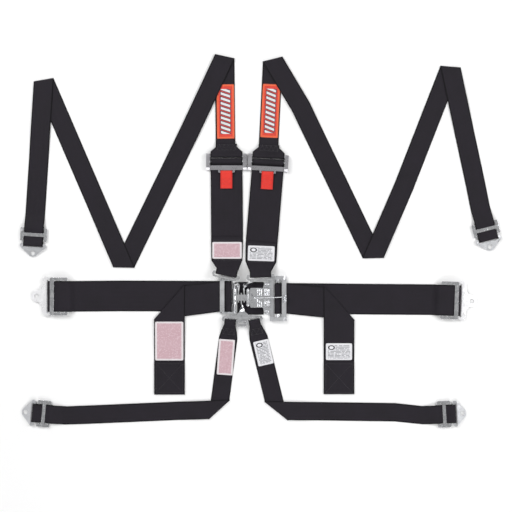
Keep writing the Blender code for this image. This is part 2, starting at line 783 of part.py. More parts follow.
def sub_tongue():
    """Two side slots and a middle slot below a neck that twists on edge to its eye."""
    z = (SUB_TONGUE_Z - PLATE / 2, SUB_TONGUE_Z + PLATE / 2)
    outline = rounded(
        [(-14, -70, 4), (8, -70, 4), (12.5, -63.4, 3), (46, -56.3, 4), (49, -50, 4), (46, -44, 4),
         (14, -42.5, 4), (8, -36, 5), (-11, -36, 5), (-18, -42.5, 4), (-49, -46, 4), (-52, -52, 4),
         (-49, -57.8, 4), (-15.5, -61.9, 3)], 4
    )
    holes = [slot((BAR_HALF, SLOT_FAR), (-15.5, 15.5), 1.8, place) for place in SUB_LOOP.values()]
    holes.append(slot((-12, 8), (-63.5, -59), 1.5))
    obj = add("sub_tongue", plate(outline, holes, z), CHROME)
    eye = EYE_X["sub"]
    join(
        obj,
        arm(
            [
                ((-1.5, -40, SUB_TONGUE_Z), (8.5, 0, 0)),
                ((-1.8, -33, SUB_TONGUE_Z), (6.8, 0, 0)),
                ((-2.5, -26, SUB_TONGUE_Z + 0.2), (4.6, 0, 4.2)),
                ((-3.5, -20, NECK_Z), (1.6, 0, 6.1)),
                ((eye, -14, NECK_Z), (0, 0, EYE_HALF_Z)),
                ((eye, 11.5, NECK_Z), (0, 0, EYE_HALF_Z)),
            ]
        ),
    )
    cut(obj, eye_slot(eye))


def link():
    """A plate that carries the tongues, hinged on the left lap adjuster and held by the latch."""
    bar = LAP_ADJUSTER["left"] @ Vector((REAR_BAR_X, 0, 0))
    outline = rounded(
        [(bar.x + 1, -15, 1), (bar.x + 6.5, -15, 2), (bar.x + 6.5, -NECK_HALF, 0.8),
         (16, -NECK_HALF, 2), (18, -14, 4), (36, -14, 5), (36, 14, 5), (18, 14, 4),
         (16, NECK_HALF, 2), (bar.x + 6.5, NECK_HALF, 0.8), (bar.x + 6.5, 21, 2), (bar.x + 1, 21, 1)], 3
    )
    latch_slot = slot((20.5, 29), (-6.5, 6.5), 1.5)
    z = (NECK_Z - PLATE / 2, NECK_Z + PLATE / 2)
    obj = add("link_plate", plate(outline, [latch_slot], z), CHROME, (bar.x, bar.y, 6.5))
    join(obj, rod((bar.x, -15, 6.5), (bar.x, 21, 6.5), REAR_BAR_R + RUNNING + 2, sides=28))
    cut(obj, rod((bar.x, -20, 6.5), (bar.x, 26, 6.5), REAR_BAR_R + RUNNING, sides=28))


# --- Latch ------------------------------------------------------------------------------------------------


def latch_base():
    """A channel with a pair of hinge ears, riveted to the right lap adjuster."""
    outline = rounded(
        [(8, -WALL[1], 2), (48, -WALL[1], 4), (52, -41, 6), (65.5, -41, 4), (65.5, 37, 4),
         (52, 37, 6), (48, WALL[1], 4), (8, WALL[1], 2)], 4
    )
    holes = [circle(x, y, 2.5 + RUNNING, 20) for x, y in RIVETS]
    obj = add("latch_base", plate(outline, holes, BASE_Z), ZINC)
    for sign in (-1, 1):
        span = sorted((sign * WALL[0], sign * WALL[1]))
        side_view = rounded(
            [(PIN_X - 4.4, BASE_Z[0], 0), (44, BASE_Z[0], 0), (40, 9.5, 3), (PIN_X + 4.4, 9.5, 1),
             (PIN_X + 4.4, PIN_Z + 4.4, 4.2), (PIN_X - 4.4, PIN_Z + 4.4, 4.2)], 5
        )
        upright = Matrix.Rotation(pi / 2, 4, "X")
        join(obj, plate(side_view, [], (-span[1], -span[0]), upright))
    cut(obj, rod((PIN_X, -30, PIN_Z), (PIN_X, 30, PIN_Z), PIN_R + RUNNING))


def latch_lever():
    """A ribbed plate with a window, hinge knuckles, and a hook that holds the link."""
    outline = rounded(
        [(LEVER_X[0], -LEVER_HALF, 2.5), (LEVER_X[1], -LEVER_HALF, 3), (LEVER_X[1], LEVER_HALF, 3),
         (LEVER_X[0], LEVER_HALF, 2.5)], 4
    )
    windows = [slot((19.5, 24), (4, 12), 1.5), slot((19.5, 24), (-12, -4), 1.5)]
    axis = (PIN_X, 0, PIN_Z)
    obj = add("latch_lever", plate(outline, windows, LEVER_Z), CHROME, axis)
    for sign in (-1, 1):
        span = sorted((sign * KNUCKLE[0], sign * KNUCKLE[1]))
        join(obj, rod((PIN_X, span[0], PIN_Z), (PIN_X, span[1], PIN_Z), 4.2, sides=24))
        join(obj, box((PIN_X, LEVER_X[0] + 2), span, (PIN_Z + 0.5, LEVER_Z[1] - 0.3)))
        for x in RIB_X:
            ribs = sorted((sign * 4, sign * 22))
            join(obj, rod((x, ribs[0], LEVER_Z[1] - 0.4), (x, ribs[1], LEVER_Z[1] - 0.4), RIB_R, sides=12))
    join(obj, box((22, 26), (-3.5, 3.5), (7.6, LEVER_Z[0] + 1)))
    cut(obj, rod((PIN_X, -30, PIN_Z), (PIN_X, 30, PIN_Z), PIN_R + RUNNING))


def latch_pin_and_rivets():
    add("latch_hinge_pin", rod((PIN_X, -21.5, PIN_Z), (PIN_X, 21.5, PIN_Z), PIN_R), ZINC)
    for name, (x, y) in zip(("rivet_upper", "rivet_lower"), RIVETS):
        obj = add(name, rod((x, y, 0), (x, y, 8), 2.5), ZINC)
        join(obj, rod((x, y, BASE_Z[1] + RUNNING), (x, y, 7.6), 4.6))


def keeper_wire():
    """A wire along the lever's middle that ends in three turns on the adjuster's outer bar."""
    start, knee, turn_x = Vector((27, 0, 18.7)), Vector((70, -1, 18.7)), 103.0
    radius, turns, pitch, steps = 4.0, 3, 5.6, 12
    height = FRONT_BAR_Z[1] + GAP + radius + WIRE_R
    points = [start, knee]
    for k in range(turns * steps + 1):
        angle = pi / 2 - 2 * pi * k / steps
        points.append(
            Vector((turn_x + radius * cos(angle), 5.5 - pitch * k / steps, height + radius * sin(angle)))
        )
    curve = bpy.data.curves.new("keeper_wire", "CURVE")
    curve.dimensions = "3D"
    curve.bevel_depth = WIRE_R
    curve.bevel_resolution = 1
    curve.use_fill_caps = True
    spline = curve.splines.new("POLY")
    spline.points.add(len(points) - 1)
    for point, corner in zip(spline.points, points):
        point.co = (*corner, 1)
    wire = bpy.data.objects.new("keeper_wire", curve)
    CUTTERS.objects.link(wire)
    graph = bpy.context.evaluated_depsgraph_get()
    mesh = bpy.data.meshes.new_from_object(wire.evaluated_get(graph))
    bm = bmesh.new()
    bm.from_mesh(mesh)
    bpy.data.objects.remove(wire)
    bpy.data.curves.remove(curve)
    bpy.data.meshes.remove(mesh)
    add("keeper_wire", bm, CHROME, (PIN_X, 0, PIN_Z))


def buckle_pad():
    outline = rounded([(-14, -42, 3), (51, -42, 3), (51, 38, 3), (-14, 38, 3)], 3)
    add("buckle_pad", plate(outline, [], (0, WEB)), BLACK)


upper_straps()
transitions()
lower_straps()
lap_straps()
sub_straps()
tags()
lap_labels()
pull_tabs()
anchors()
adjusters()
shoulder_tongues()
sub_tongue()
link()
latch_base()
latch_lever()
latch_pin_and_rivets()
keeper_wire()
buckle_pad()
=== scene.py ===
"""The looks of the racing harness: webbing, stitching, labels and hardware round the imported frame.

Lengths are millimetres, and MM turns them into metres where a mesh is made. Each strap follows
the same cross lines as its solid, with rounded selvedges, finer folds and a weave that runs along
it. Hardware keeps its CAD shape, with softened edges and plated finishes.
"""

import json
from math import cos, pi, radians, sin

import bpy
import numpy as np
from mathutils import Matrix, Vector
from mathutils.bvhtree import BVHTree

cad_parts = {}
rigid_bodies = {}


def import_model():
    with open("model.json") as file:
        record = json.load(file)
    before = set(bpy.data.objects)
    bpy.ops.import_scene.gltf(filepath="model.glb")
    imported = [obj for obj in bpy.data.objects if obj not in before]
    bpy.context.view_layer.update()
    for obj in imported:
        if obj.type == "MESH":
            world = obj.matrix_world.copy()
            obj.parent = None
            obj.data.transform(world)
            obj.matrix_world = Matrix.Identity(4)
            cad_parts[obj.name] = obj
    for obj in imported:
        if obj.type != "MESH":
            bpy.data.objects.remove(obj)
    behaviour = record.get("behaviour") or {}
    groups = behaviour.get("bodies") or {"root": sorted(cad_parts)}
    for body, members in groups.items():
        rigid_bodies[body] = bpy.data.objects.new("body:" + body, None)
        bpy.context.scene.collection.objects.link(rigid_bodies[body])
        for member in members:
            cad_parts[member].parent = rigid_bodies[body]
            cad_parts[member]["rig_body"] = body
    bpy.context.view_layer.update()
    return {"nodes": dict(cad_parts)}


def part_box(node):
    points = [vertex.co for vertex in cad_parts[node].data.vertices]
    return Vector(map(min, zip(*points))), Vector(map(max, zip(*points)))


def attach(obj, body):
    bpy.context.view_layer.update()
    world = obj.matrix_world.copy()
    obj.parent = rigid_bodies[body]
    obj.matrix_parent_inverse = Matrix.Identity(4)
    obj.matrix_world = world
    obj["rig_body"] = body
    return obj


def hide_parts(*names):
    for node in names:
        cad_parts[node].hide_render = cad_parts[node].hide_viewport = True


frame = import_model()
NODES = frame["nodes"]

MM = 0.001

# Webbing
WEB = 1.5
GAP = 0.4
LAYER = WEB + GAP
FLOOR = WEB / 2
SECOND = FLOOR + LAYER
THIRD = SECOND + LAYER
UPPER_HALF = 24.0
SHOULDER_HALF = 39.0
LAP_HALF = 37.5
SUB_HALF = 22.5
FOLD_STEPS = 10
PATCH_RISE = 3.0
RING_STEP = 6.0
SELVEDGE = (0, 0.12, 0.4, 0.8, 3.0)
INNER_COLUMNS = 7
RIPPLE = 0.16

# Fittings that the webbing runs round
LOOP_INNER = 3.3
LOOP = LOOP_INNER + WEB / 2
LOOP_Z = WEB + LOOP_INNER
LOCK_R = 4.0
LOCK_PIN_R = 2.5
LOCK_TRAVEL = 2.0
LOCK_WRAP = LOCK_R + GAP + WEB / 2
LOCK_Z = FLOOR + LOCK_WRAP
FRONT_BAR_X = -21.0
REAR_BAR_X = 14.5
REAR_WRAP = 3.3 + GAP + WEB / 2
REAR_BAR_Z = FLOOR + REAR_WRAP
TAB_BAR_X = -26.0
TAB_BAR_Z = 7.65
TAB_LOOP = 2.95
TAB_HALF = 14.5
TAB_END = -66.0
TONGUE_Z = 17.0
SUB_TONGUE_Z = 8.0

# Stitching
STITCH = 2.9
STITCH_PITCH = 3.7
THREAD_R = 0.28
RAY_START = 60.0

# Edges of the CAD hardware
WELD_GAP = 0.02
BEVEL_SEGMENTS = 3
BEVEL_ANGLE = 38

# The stage: how bright the surroundings are at each height of view, 0 level and 1 overhead
FLOOR_SIZE = 4.0
FLOOR_LEVEL = -0.0006
SKY_STRENGTH = 0.8
SKY = ((0.0, 0.9), (0.2, 0.9), (0.32, 0.04), (0.62, 0.04),
       (0.72, 1.0), (0.9, 0.9), (0.965, 0.3), (1.0, 0.55))


def place_at(x, y, angle):
    """A fitting's own axes: +X along the strap at this angle, with its origin on the floor."""
    return Matrix.Translation((x, y, 0)) @ Matrix.Rotation(radians(angle), 4, "Z")


ADJUSTER = {"left": place_at(-40.5, 333, 90), "right": place_at(61.5, 331, 87)}
HEAD = {"left": place_at(-40.5, 58, -102), "right": place_at(43, 54, -88)}
LAP_ADJUSTER = {"left": place_at(-35.5, 3, 0), "right": place_at(85, -2, 180)}
SUB_LOOP = {"left": place_at(-31, -57.5, 83), "right": place_at(28, -57.5, 102)}
SHOULDER_END = {"left": place_at(-513.5, 130, 266.4), "right": place_at(600, 144, 284.1)}
LAP_END = {"left": place_at(-473, 3, 180), "right": place_at(528, -7.5, -2)}
SUB_END = {"left": place_at(-511.5, -282, 175), "right": place_at(516.5, -284, 3)}


# --- Materials --------------------------------------------------------------------------------


class Shader:
    """A material with a Principled shader, and short calls to add the nodes that feed it."""

    def __init__(self, name, **constants):
        self.material = bpy.data.materials.new(name)
        self.material.use_nodes = True
        self.tree = self.material.node_tree
        self.shader = self.tree.nodes["Principled BSDF"]
        for socket, value in constants.items():
            self.shader.inputs[socket.replace("_", " ")].default_value = value

    def node(self, kind, inputs=None, output=0, **settings):
        made = self.tree.nodes.new(kind)
        for setting, value in settings.items():
            setattr(made, setting, value)
        for key, value in (inputs or {}).items():
            if isinstance(value, bpy.types.NodeSocket):
                self.tree.links.new(value, made.inputs[key])
            else:
                made.inputs[key].default_value = value
        return made.outputs[output]

    def math(self, operation, *values):
        return self.node("ShaderNodeMath", dict(enumerate(values)), operation=operation)

    def mix(self, factor, first, second):
        return self.node(
            "ShaderNodeMix", {0: factor, 6: first, 7: second}, output=2, data_type="RGBA"
        )

    def noise(self, scale, detail=3.0):
        place = self.node("ShaderNodeTexCoord", output=3)
        return self.node("ShaderNodeTexNoise", {"Vector": place, "Scale": scale, "Detail": detail})

    def uv(self):
        """Metres across and along the cloth."""
        place = self.node("ShaderNodeUVMap", uv_map="cloth")
        split = self.tree.nodes.new("ShaderNodeSeparateXYZ")
        self.tree.links.new(place, split.inputs[0])
        return split.outputs[0], split.outputs[1]

    def ramp(self, value, low, high, to_low=0.0, to_high=1.0):
        return self.node(
            "ShaderNodeMapRange",
            {"Value": value, "From Min": low, "From Max": high,
             "To Min": to_low, "To Max": to_high},
        )

    def wave(self, value, period):
        return self.math("SINE", self.math("MULTIPLY", value, 2 * pi / period))

    def feed(self, socket, value):
        self.tree.links.new(value, self.shader.inputs[socket])

    def bump(self, height, strength, distance):
        self.feed(
            "Normal",
            self.node(
                "ShaderNodeBump", {"Height": height, "Strength": strength, "Distance": distance}
            ),
        )


def rgb(red, green, blue):
    """A linear colour with full alpha."""
    return (red, green, blue, 1)


def webbing(name, dark, light, edge_color, sheen):
    """Woven belt: herringbone ribs between warp cords, with a tight plain selvedge."""
    made = Shader(
        name, Roughness=0.62, Sheen_Weight=sheen, Sheen_Roughness=0.45, Specular_IOR_Level=0.16
    )
    across, along = made.uv()
    chevron = made.math("PINGPONG", across, 0.0062)
    twill = made.wave(made.math("ADD", along, chevron), 0.0023)
    weft = made.wave(along, 0.00115)
    cords = made.wave(across, 0.0031)
    ribs = made.math("ADD", made.math("MULTIPLY", twill, 0.6), made.math("MULTIPLY", cords, 0.3))
    height = made.math("ADD", ribs, made.math("MULTIPLY", weft, 0.2))
    wear = made.noise(22.0, 4.0)
    fuzz = made.noise(900.0, 2.0)
    height = made.math("ADD", height, made.math("MULTIPLY", fuzz, 0.5))
    shade = made.ramp(made.math("ADD", height, made.math("MULTIPLY", wear, 1.6)), -0.3, 2.2)
    edge = made.node("ShaderNodeAttribute", attribute_name="edge", output=2)
    body = made.mix(shade, dark, light)
    selvedge = made.ramp(edge, 1.6, 3.4)
    made.feed("Base Color", made.mix(selvedge, edge_color, body))
    made.feed("Roughness", made.ramp(wear, 0.3, 0.7, 0.56, 0.74))
    made.bump(height, 0.55, 0.00028)
    return made.material


def thread(name, color):
    """Sewing thread with a fine twist."""
    made = Shader(name, Roughness=0.5, Sheen_Weight=0.3, Specular_IOR_Level=0.4)
    twist = made.noise(2400.0, 1.0)
    made.feed("Base Color", made.mix(twist, color, tuple(c * 0.6 for c in color[:3]) + (1,)))
    made.bump(twist, 0.4, 0.0001)
    return made.material


def within(made, value, low, high):
    """1 where the value lies between low and high, else 0."""
    above = made.math("GREATER_THAN", value, low)
    return made.math("MULTIPLY", above, made.math("LESS_THAN", value, high))


def weave_height(made, across, along):
    """The plain weave of a label, as a height."""
    return made.math("MULTIPLY", made.wave(across, 0.0009), made.wave(along, 0.0009))


def printed_label(name, size, ground, border, ink, pitch, emblem):
    """A woven label with rows of plain dashes where the small print would be."""
    made = Shader(name, Roughness=0.58, Sheen_Weight=0.2, Specular_IOR_Level=0.35)
    across, along = made.uv()
    half_width, half_length = size[0] / 2 * MM, size[1] / 2 * MM
    row = made.math("DIVIDE", along, pitch)
    column = made.math("FLOOR", made.math("DIVIDE", across, pitch * 0.62))
    dash = made.node("ShaderNodeCombineXYZ", {0: column, 1: made.math("FLOOR", row)})
    words = made.node("ShaderNodeTexWhiteNoise", {"Vector": dash}, noise_dimensions="2D")
    line = made.math("LESS_THAN", made.math("FRACT", row), 0.5)
    printed = made.math("MULTIPLY", line, made.math("GREATER_THAN", words, 0.24))
    width, length = made.math("ABSOLUTE", across), made.math("ABSOLUTE", along)
    inside = made.math(
        "MULTIPLY",
        made.math("LESS_THAN", width, half_width - 0.0045),
        made.math("LESS_THAN", length, half_length - 0.004),
    )
    printed = made.math("MULTIPLY", printed, inside)
    soft = made.noise(160.0, 3.0)
    wear_and_edge_highlight = tuple(c * 0.86 for c in ground[:3]) + (1,)
    color = made.mix(inside, border, made.mix(soft, ground, wear_and_edge_highlight))
    color = made.mix(made.math("MULTIPLY", printed, 0.8), color, ink)
    if emblem:
        x = made.math("DIVIDE", made.math("ADD", across, half_width - 0.0135), 0.0085)
        y = made.math("DIVIDE", made.math("SUBTRACT", along, half_length - 0.0105), 0.0058)
        radius = made.math(
            "SQRT", made.math("ADD", made.math("POWER", x, 2.0), made.math("POWER", y, 2.0))
        )
        color = made.mix(made.math("LESS_THAN", radius, 1.18), color, ground)
        color = made.mix(within(made, radius, 0.62, 1.0), color, rgb(0.02, 0.02, 0.025))
    made.feed("Base Color", color)
    made.bump(made.math("ADD", weave_height(made, across, along), printed), 0.25, 0.00012)
    return made.material


def embroidery(name, size):
    """A patch of red twill with an orange edge and a row of plain slanted bars."""
    made = Shader(name, Roughness=0.55, Sheen_Weight=0.35, Sheen_Roughness=0.4)
    across, along = made.uv()
    half_width, half_length = size[0] / 2 * MM, size[1] / 2 * MM
    width, length = made.math("ABSOLUTE", across), made.math("ABSOLUTE", along)
    slant = made.math("ADD", along, made.math("MULTIPLY", across, 0.35))
    turn = made.math("FRACT", made.math("DIVIDE", slant, 0.0118))
    room = made.math("LESS_THAN", length, half_length - 0.0115)
    outline = made.math("MULTIPLY", made.math("LESS_THAN", width, 0.0132), room)
    outline = made.math("MULTIPLY", outline, within(made, turn, 0.03, 0.86))
    bars = made.math("MULTIPLY", made.math("LESS_THAN", width, 0.0114), room)
    bars = made.math("MULTIPLY", bars, within(made, turn, 0.18, 0.68))
    satin = made.wave(made.math("ADD", along, made.math("MULTIPLY", across, 0.2)), 0.0008)
    soft = made.noise(120.0, 3.0)
    red = made.mix(soft, rgb(0.78, 0.055, 0.028), rgb(0.62, 0.035, 0.02))
    color = made.mix(outline, red, rgb(0.05, 0.025, 0.05))
    color = made.mix(bars, color, rgb(0.76, 0.75, 0.76))
    rim = made.math(
        "MAXIMUM",
        made.math("GREATER_THAN", width, half_width - 0.0046),
        made.math("GREATER_THAN", length, half_length - 0.0046),
    )
    color = made.mix(rim, color, rgb(0.86, 0.13, 0.045))
    made.feed("Base Color", color)
    raised = made.math("ADD", made.math("MULTIPLY", bars, 2.0), satin)
    made.bump(made.math("ADD", raised, made.math("MULTIPLY", rim, 1.5)), 0.5, 0.00016)
    return made.material


def plated(name, bright, dull, roughness, streaks, waviness, metallic=1.0):
    """Plated steel: soft mottling, broad waves, fine rolled scratches and convex edges painted
    brighter as a painted highlight.
    """
    made = Shader(name, Metallic=metallic, Roughness=roughness)
    cloud = made.noise(55.0, 5.0)
    waves = made.noise(75.0, 1.0)
    place = made.node("ShaderNodeTexCoord", output=3)
    stretched = made.node("ShaderNodeMapping", {"Vector": place, "Scale": (2600.0, 190.0, 900.0)})
    lines = made.node("ShaderNodeTexNoise", {"Vector": stretched, "Scale": 1.0, "Detail": 2.0})
    # Painted highlight: convex edges found by pointiness take the bright colour, as if they caught
    # the light.
    wear_and_edge_highlight = made.ramp(made.node("ShaderNodeNewGeometry", output=7), 0.51, 0.58)
    color = made.mix(cloud, bright, dull)
    made.feed("Base Color", made.mix(wear_and_edge_highlight, color, bright))
    mottled = made.math("ADD", made.math("MULTIPLY", cloud, 0.6), made.math("MULTIPLY", lines, 0.4))
    made.feed("Roughness", made.ramp(mottled, 0.25, 0.75, roughness * 0.65, roughness * 1.35))
    scratches = made.math("MULTIPLY", lines, streaks)
    relief = made.math("ADD", scratches, made.math("MULTIPLY", waves, waviness))
    made.bump(relief, 1.0, 0.0001)
    return made.material


LABEL_SIZE = {"lower": {"left": (72, 41), "right": (65, 37)},
              "sub": {"left": (39, 87), "right": (38, 61)},
              "lap": {"left": (69, 95), "right": (64, 41)}}
PATCH_SIZE = {"left": (43, 133), "right": (43, 131)}

BLACK = webbing(
    "black_webbing", rgb(0.0065, 0.0055, 0.0075), rgb(0.026, 0.022, 0.030),
    rgb(0.005, 0.0045, 0.006), 0.06,
)
RED = webbing(
    "red_webbing", rgb(0.62, 0.028, 0.022), rgb(0.86, 0.062, 0.045), rgb(0.60, 0.03, 0.022), 0.3
)
BLACK_THREAD = thread("black_thread", rgb(0.028, 0.027, 0.032))
RED_THREAD = thread("red_thread", rgb(0.50, 0.018, 0.014))
PALE_THREAD = thread("pale_thread", rgb(0.72, 0.68, 0.68))
ORANGE_THREAD = thread("orange_thread", rgb(0.88, 0.15, 0.05))
CHROME = plated("chrome", rgb(0.90, 0.91, 0.93), rgb(0.76, 0.77, 0.80), 0.13, 0.04, 14.0)
ZINC = plated("zinc_steel", rgb(0.82, 0.83, 0.85), rgb(0.64, 0.65, 0.68), 0.32, 0.10, 7.0)
DARK_ZINC = plated("dark_zinc", rgb(0.58, 0.57, 0.60), rgb(0.40, 0.395, 0.42), 0.30, 0.10, 7.0)
PALE_ZINC = plated("pale_zinc", rgb(0.95, 0.95, 0.96), rgb(0.84, 0.84, 0.86), 0.30, 0.10, 7.0, 0.45)


# --- Cloth meshes -----------------------------------------------------------------------------


def arc(x, z, radius, start, end, steps=FOLD_STEPS):
    """Points (x, z) of an arc, with its angles in degrees."""
    return [
        (
            x + radius * cos(radians(start + (end - start) * k / steps)),
            z + radius * sin(radians(start + (end - start) * k / steps)),
        )
        for k in range(steps + 1)
    ]


class Strap:
    """The cross lines of one strap's middle surface, in the order that the strap runs.

    A line is (edge, other edge, skew, loose): skew is how far along the strap the first edge
    lies ahead of the middle, and loose is 1 where the strap lies free and can ripple.
    """

    def __init__(self, half):
        self.half = half
        self.side = 1
        self.lines = []

    def profile(self, place, points, heading=1, turns=False):
        """Points (x, z) or (x, z, half) in the middle plane of a fitting."""
        for x, z, *half in points:
            y = self.side * heading * (half[0] if half else self.half)
            self.lines.append((place @ Vector((x, y, z)), place @ Vector((x, -y, z)), 0.0, 0.0))
        if turns:
            self.side = -self.side

    def run(self, before, points, after):
        """Points (x, y, z) on the floor plan, with "half" or "rise" as a fourth value's key."""
        plan = [Vector(before[:2]), *(Vector(p[:2]) for p in points), Vector(after[:2])]
        for i, (x, y, z, *more) in enumerate(points, 1):
            options = more[0] if more else {}
            half = options.get("half", self.half)
            arrive = (plan[i] - plan[i - 1]).normalized()
            leave = (plan[i + 1] - plan[i]).normalized()
            if "rise" in options:
                self.fold(Vector((x, y, z)), arrive, leave, half, options["rise"])
            else:
                ahead = (arrive + leave).normalized()
                across = Vector((-ahead.y, ahead.x, 0)) * half * self.side / ahead.dot(arrive)
                middle = Vector((x, y, z))
                skew = across.xy.dot(arrive)
                self.lines.append((middle + across, middle - across, skew, 1.0))

    def fold(self, middle, arrive, leave, half, rise):
        """Turns the strap over a crease, and leaves it rise higher than it came."""
        out = (arrive - leave).normalized()
        crease = Vector((-out.y, out.x))
        reach = half / abs(arrive.cross(crease))
        if crease.dot(Vector((-arrive.y, arrive.x))) < 0:
            crease = -crease
        across = Vector((crease.x, crease.y, 0)) * reach * self.side
        for k in range(FOLD_STEPS + 1):
            turn = -pi / 2 + pi * k / FOLD_STEPS
            shift = out * abs(rise) / 2 * cos(turn)
            centre = middle + Vector((shift.x, shift.y, rise / 2 * (1 + sin(turn))))
            self.lines.append((centre + across, centre - across, across.xy.dot(arrive), 0.0))
        self.side = -self.side


def densely(lines):
    """The cross lines with more between them, no further apart than RING_STEP."""
    rings = [lines[0]]
    for (a, b, skew, loose), (c, d, next_skew, next_loose) in zip(lines, lines[1:]):
        gap = ((c + d) - (a + b)).length / 2
        count = max(1, int(gap / RING_STEP + 0.5))
        for k in range(1, count + 1):
            t = k / count
            free = 1.0 if 0 < t < 1 and gap > 60 else min(loose, next_loose)
            rings.append((a.lerp(c, t), b.lerp(d, t), skew + (next_skew - skew) * t, free))
    return rings


def cloth_object(name, points, faces, uvs, edges, mat):
    """A cloth mesh with its woven directions in metres and its distance from the edge."""
    mesh = bpy.data.meshes.new(name)
    mesh.from_pydata([tuple(p) for p in points * MM], [], faces)
    layer = mesh.uv_layers.new(name="cloth")
    corners = np.array([loop.vertex_index for loop in mesh.loops])
    layer.data.foreach_set("uv", (uvs[corners] * MM).ravel().astype(np.float32))
    edge = mesh.attributes.new("edge", "FLOAT", "POINT")
    edge.data.foreach_set("value", edges.astype(np.float32))
    mesh.polygons.foreach_set("use_smooth", [True] * len(faces))
    mesh.set_sharp_from_angle(angle=radians(48))
    mesh.materials.append(mat)
    obj = bpy.data.objects.new(name, mesh)
    bpy.context.scene.collection.objects.link(obj)
    return obj


def unit(vectors):
    """Each row at length one."""
    return vectors / np.maximum(np.linalg.norm(vectors, axis=1, keepdims=True), 1e-9)


def ribbon(name, lines, mat, thickness=WEB, phase=0.0):
    """A closed woven band along the cross lines, with rounded selvedges and a slight ripple."""
    rings = densely(lines)
    one, other = (np.array([tuple(r[i]) for r in rings]) for i in (0, 1))
    skew = np.array([r[2] for r in rings])
    loose = np.array([r[3] for r in rings])
    centre, span = (one + other) / 2, (one - other) / 2
    half = np.linalg.norm(span, axis=1)
    steps = unit(np.diff(centre, axis=0))
    before = np.vstack([steps[:1], steps])
    after = np.vstack([steps, steps[-1:]])
    up = unit(np.cross(before, span))
    up_after = unit(np.cross(after, span))
    normal = unit(up + up_after)
    mitre = np.minimum(1 / np.maximum((normal * up).sum(1), 0.5), 1.25)
    along = np.concatenate([[0], np.cumsum(np.linalg.norm(np.diff(centre, axis=0), axis=1))])

    level = np.abs(normal[:, 2])
    wave = np.sin(along / 31 + phase) + 0.7 * np.sin(along / 13.7 + 2.1 * phase)
    width = half[:, None]
    bands = np.array(SELVEDGE)
    inner = np.linspace(0, 1, INNER_COLUMNS + 2)[1:-1]
    first = -width + bands[None, :]
    middle = -width + bands[-1] + (2 * width - 2 * bands[-1]) * inner[None, :]
    offsets = np.hstack([first, middle, -first[:, ::-1]])
    from_edge = width - np.abs(offsets)
    curve = np.sqrt(np.clip(1 - (1 - np.clip(from_edge / SELVEDGE[3], 0, 1)) ** 2, 0, 1))
    body = 1 - 0.07 * np.clip((from_edge - 2) / 2, 0, 1)
    lift = thickness / 2 * curve * body * mitre[:, None]
    shape = offsets / width
    flat = centre[:, None, :] + span[:, None, :] * shape[:, :, None]
    buckle = RIPPLE * (loose * (level > 0.99) * wave)[:, None] * (1 - 0.4 * shape**2)
    flat = flat + np.array([0, 0, 1]) * buckle[:, :, None]
    top = flat + normal[:, None, :] * lift[:, :, None]
    bottom = flat - normal[:, None, :] * lift[:, :, None]

    columns = offsets.shape[1]
    ring_points = np.concatenate([top, bottom[:, -2:0:-1]], axis=1)
    ring_uv_x = np.concatenate([offsets, offsets[:, -2:0:-1]], axis=1)
    ring_shape = np.concatenate([shape, shape[:, -2:0:-1]], axis=1)
    ring_uv_y = along[:, None] + ring_shape * skew[:, None]
    ring_edge = np.concatenate([from_edge, from_edge[:, -2:0:-1]], axis=1)
    size = ring_points.shape[1]
    count = len(rings)
    faces = [
        (i * size + j, i * size + (j + 1) % size,
         (i + 1) * size + (j + 1) % size, (i + 1) * size + j)
        for i in range(count - 1)
        for j in range(size)
    ]
    for base, flip in ((0, 1), ((count - 1) * size, -1)):
        caps = [
            (base + j, base + (size - j) % size, base + size - j - 1, base + j + 1)
            for j in range(columns - 1)
        ]
        for cap in caps:
            cap = tuple(dict.fromkeys(cap))
            faces.append(cap[::flip])
    uvs = np.stack([ring_uv_x, ring_uv_y], axis=2).reshape(-1, 2)
    obj = cloth_object(
        name, ring_points.reshape(-1, 3), faces, uvs, ring_edge.reshape(-1), mat
    )
    obj["length"] = float(along[-1]) * MM
    obj["width"] = float(np.median(half)) * 2 * MM
    return obj


def settle(obj, node):
    """Makes a piece stand for its CAD node, on that node's body."""
    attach(obj, NODES[node]["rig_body"])
    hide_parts(node)
    return obj


# --- Webbing round the fittings, as (x, z) in each fitting's frame -----------------------------


def narrow_end():
    """A 2 in strap through its slide and round its bracket."""
    return [
        (-78, FLOOR), (-70, 1.2), (-52, 5.7), (-44, 6.95), (-36.5, 6.95), (-28.8, SECOND),
        (-18.7, SECOND), (-12.6, 6.95), (-7.5, 6.95), (-2.5, LOOP_Z + LOOP),
        *arc(0, LOOP_Z, LOOP, 90, -90), (-44, FLOOR),
    ]


def wide_end():
    """A 3 in strap through its slide and round its bracket."""
    return [
        (-66, FLOOR), (-61, 1.6), (-51, 11.8), (-47, 13.2), (-44, 13.4), (-38, 13.1),
        (-32, 12.95), (-26, 13.2), (-19.3, 13.1), (-12.5, 7.7), (-3, LOOP_Z + LOOP - 0.1),
        *arc(0, LOOP_Z, LOOP, 90, -90), (-52, FLOOR),
    ]


def lock_wrap():
    """The turn of webbing round a locking bar."""
    over = arc(-LOCK_WRAP - 2.25, SECOND + 2.25, 2.25, -90, 0, 5)
    return [
        *over,
        *arc(0, LOCK_Z, LOCK_WRAP, 180, 90, 7),
        *arc(LOCK_TRAVEL, LOCK_Z, LOCK_WRAP, 90, -90, 14),
    ]


def head_loop(z):
    """The sewn loop round a tongue at height z."""
    return [(-9, z + LOOP - 0.4), *arc(0, z, LOOP, 90, -90), (-9, z - LOOP)]


# --- Straps -------------------------------------------------------------------------------------


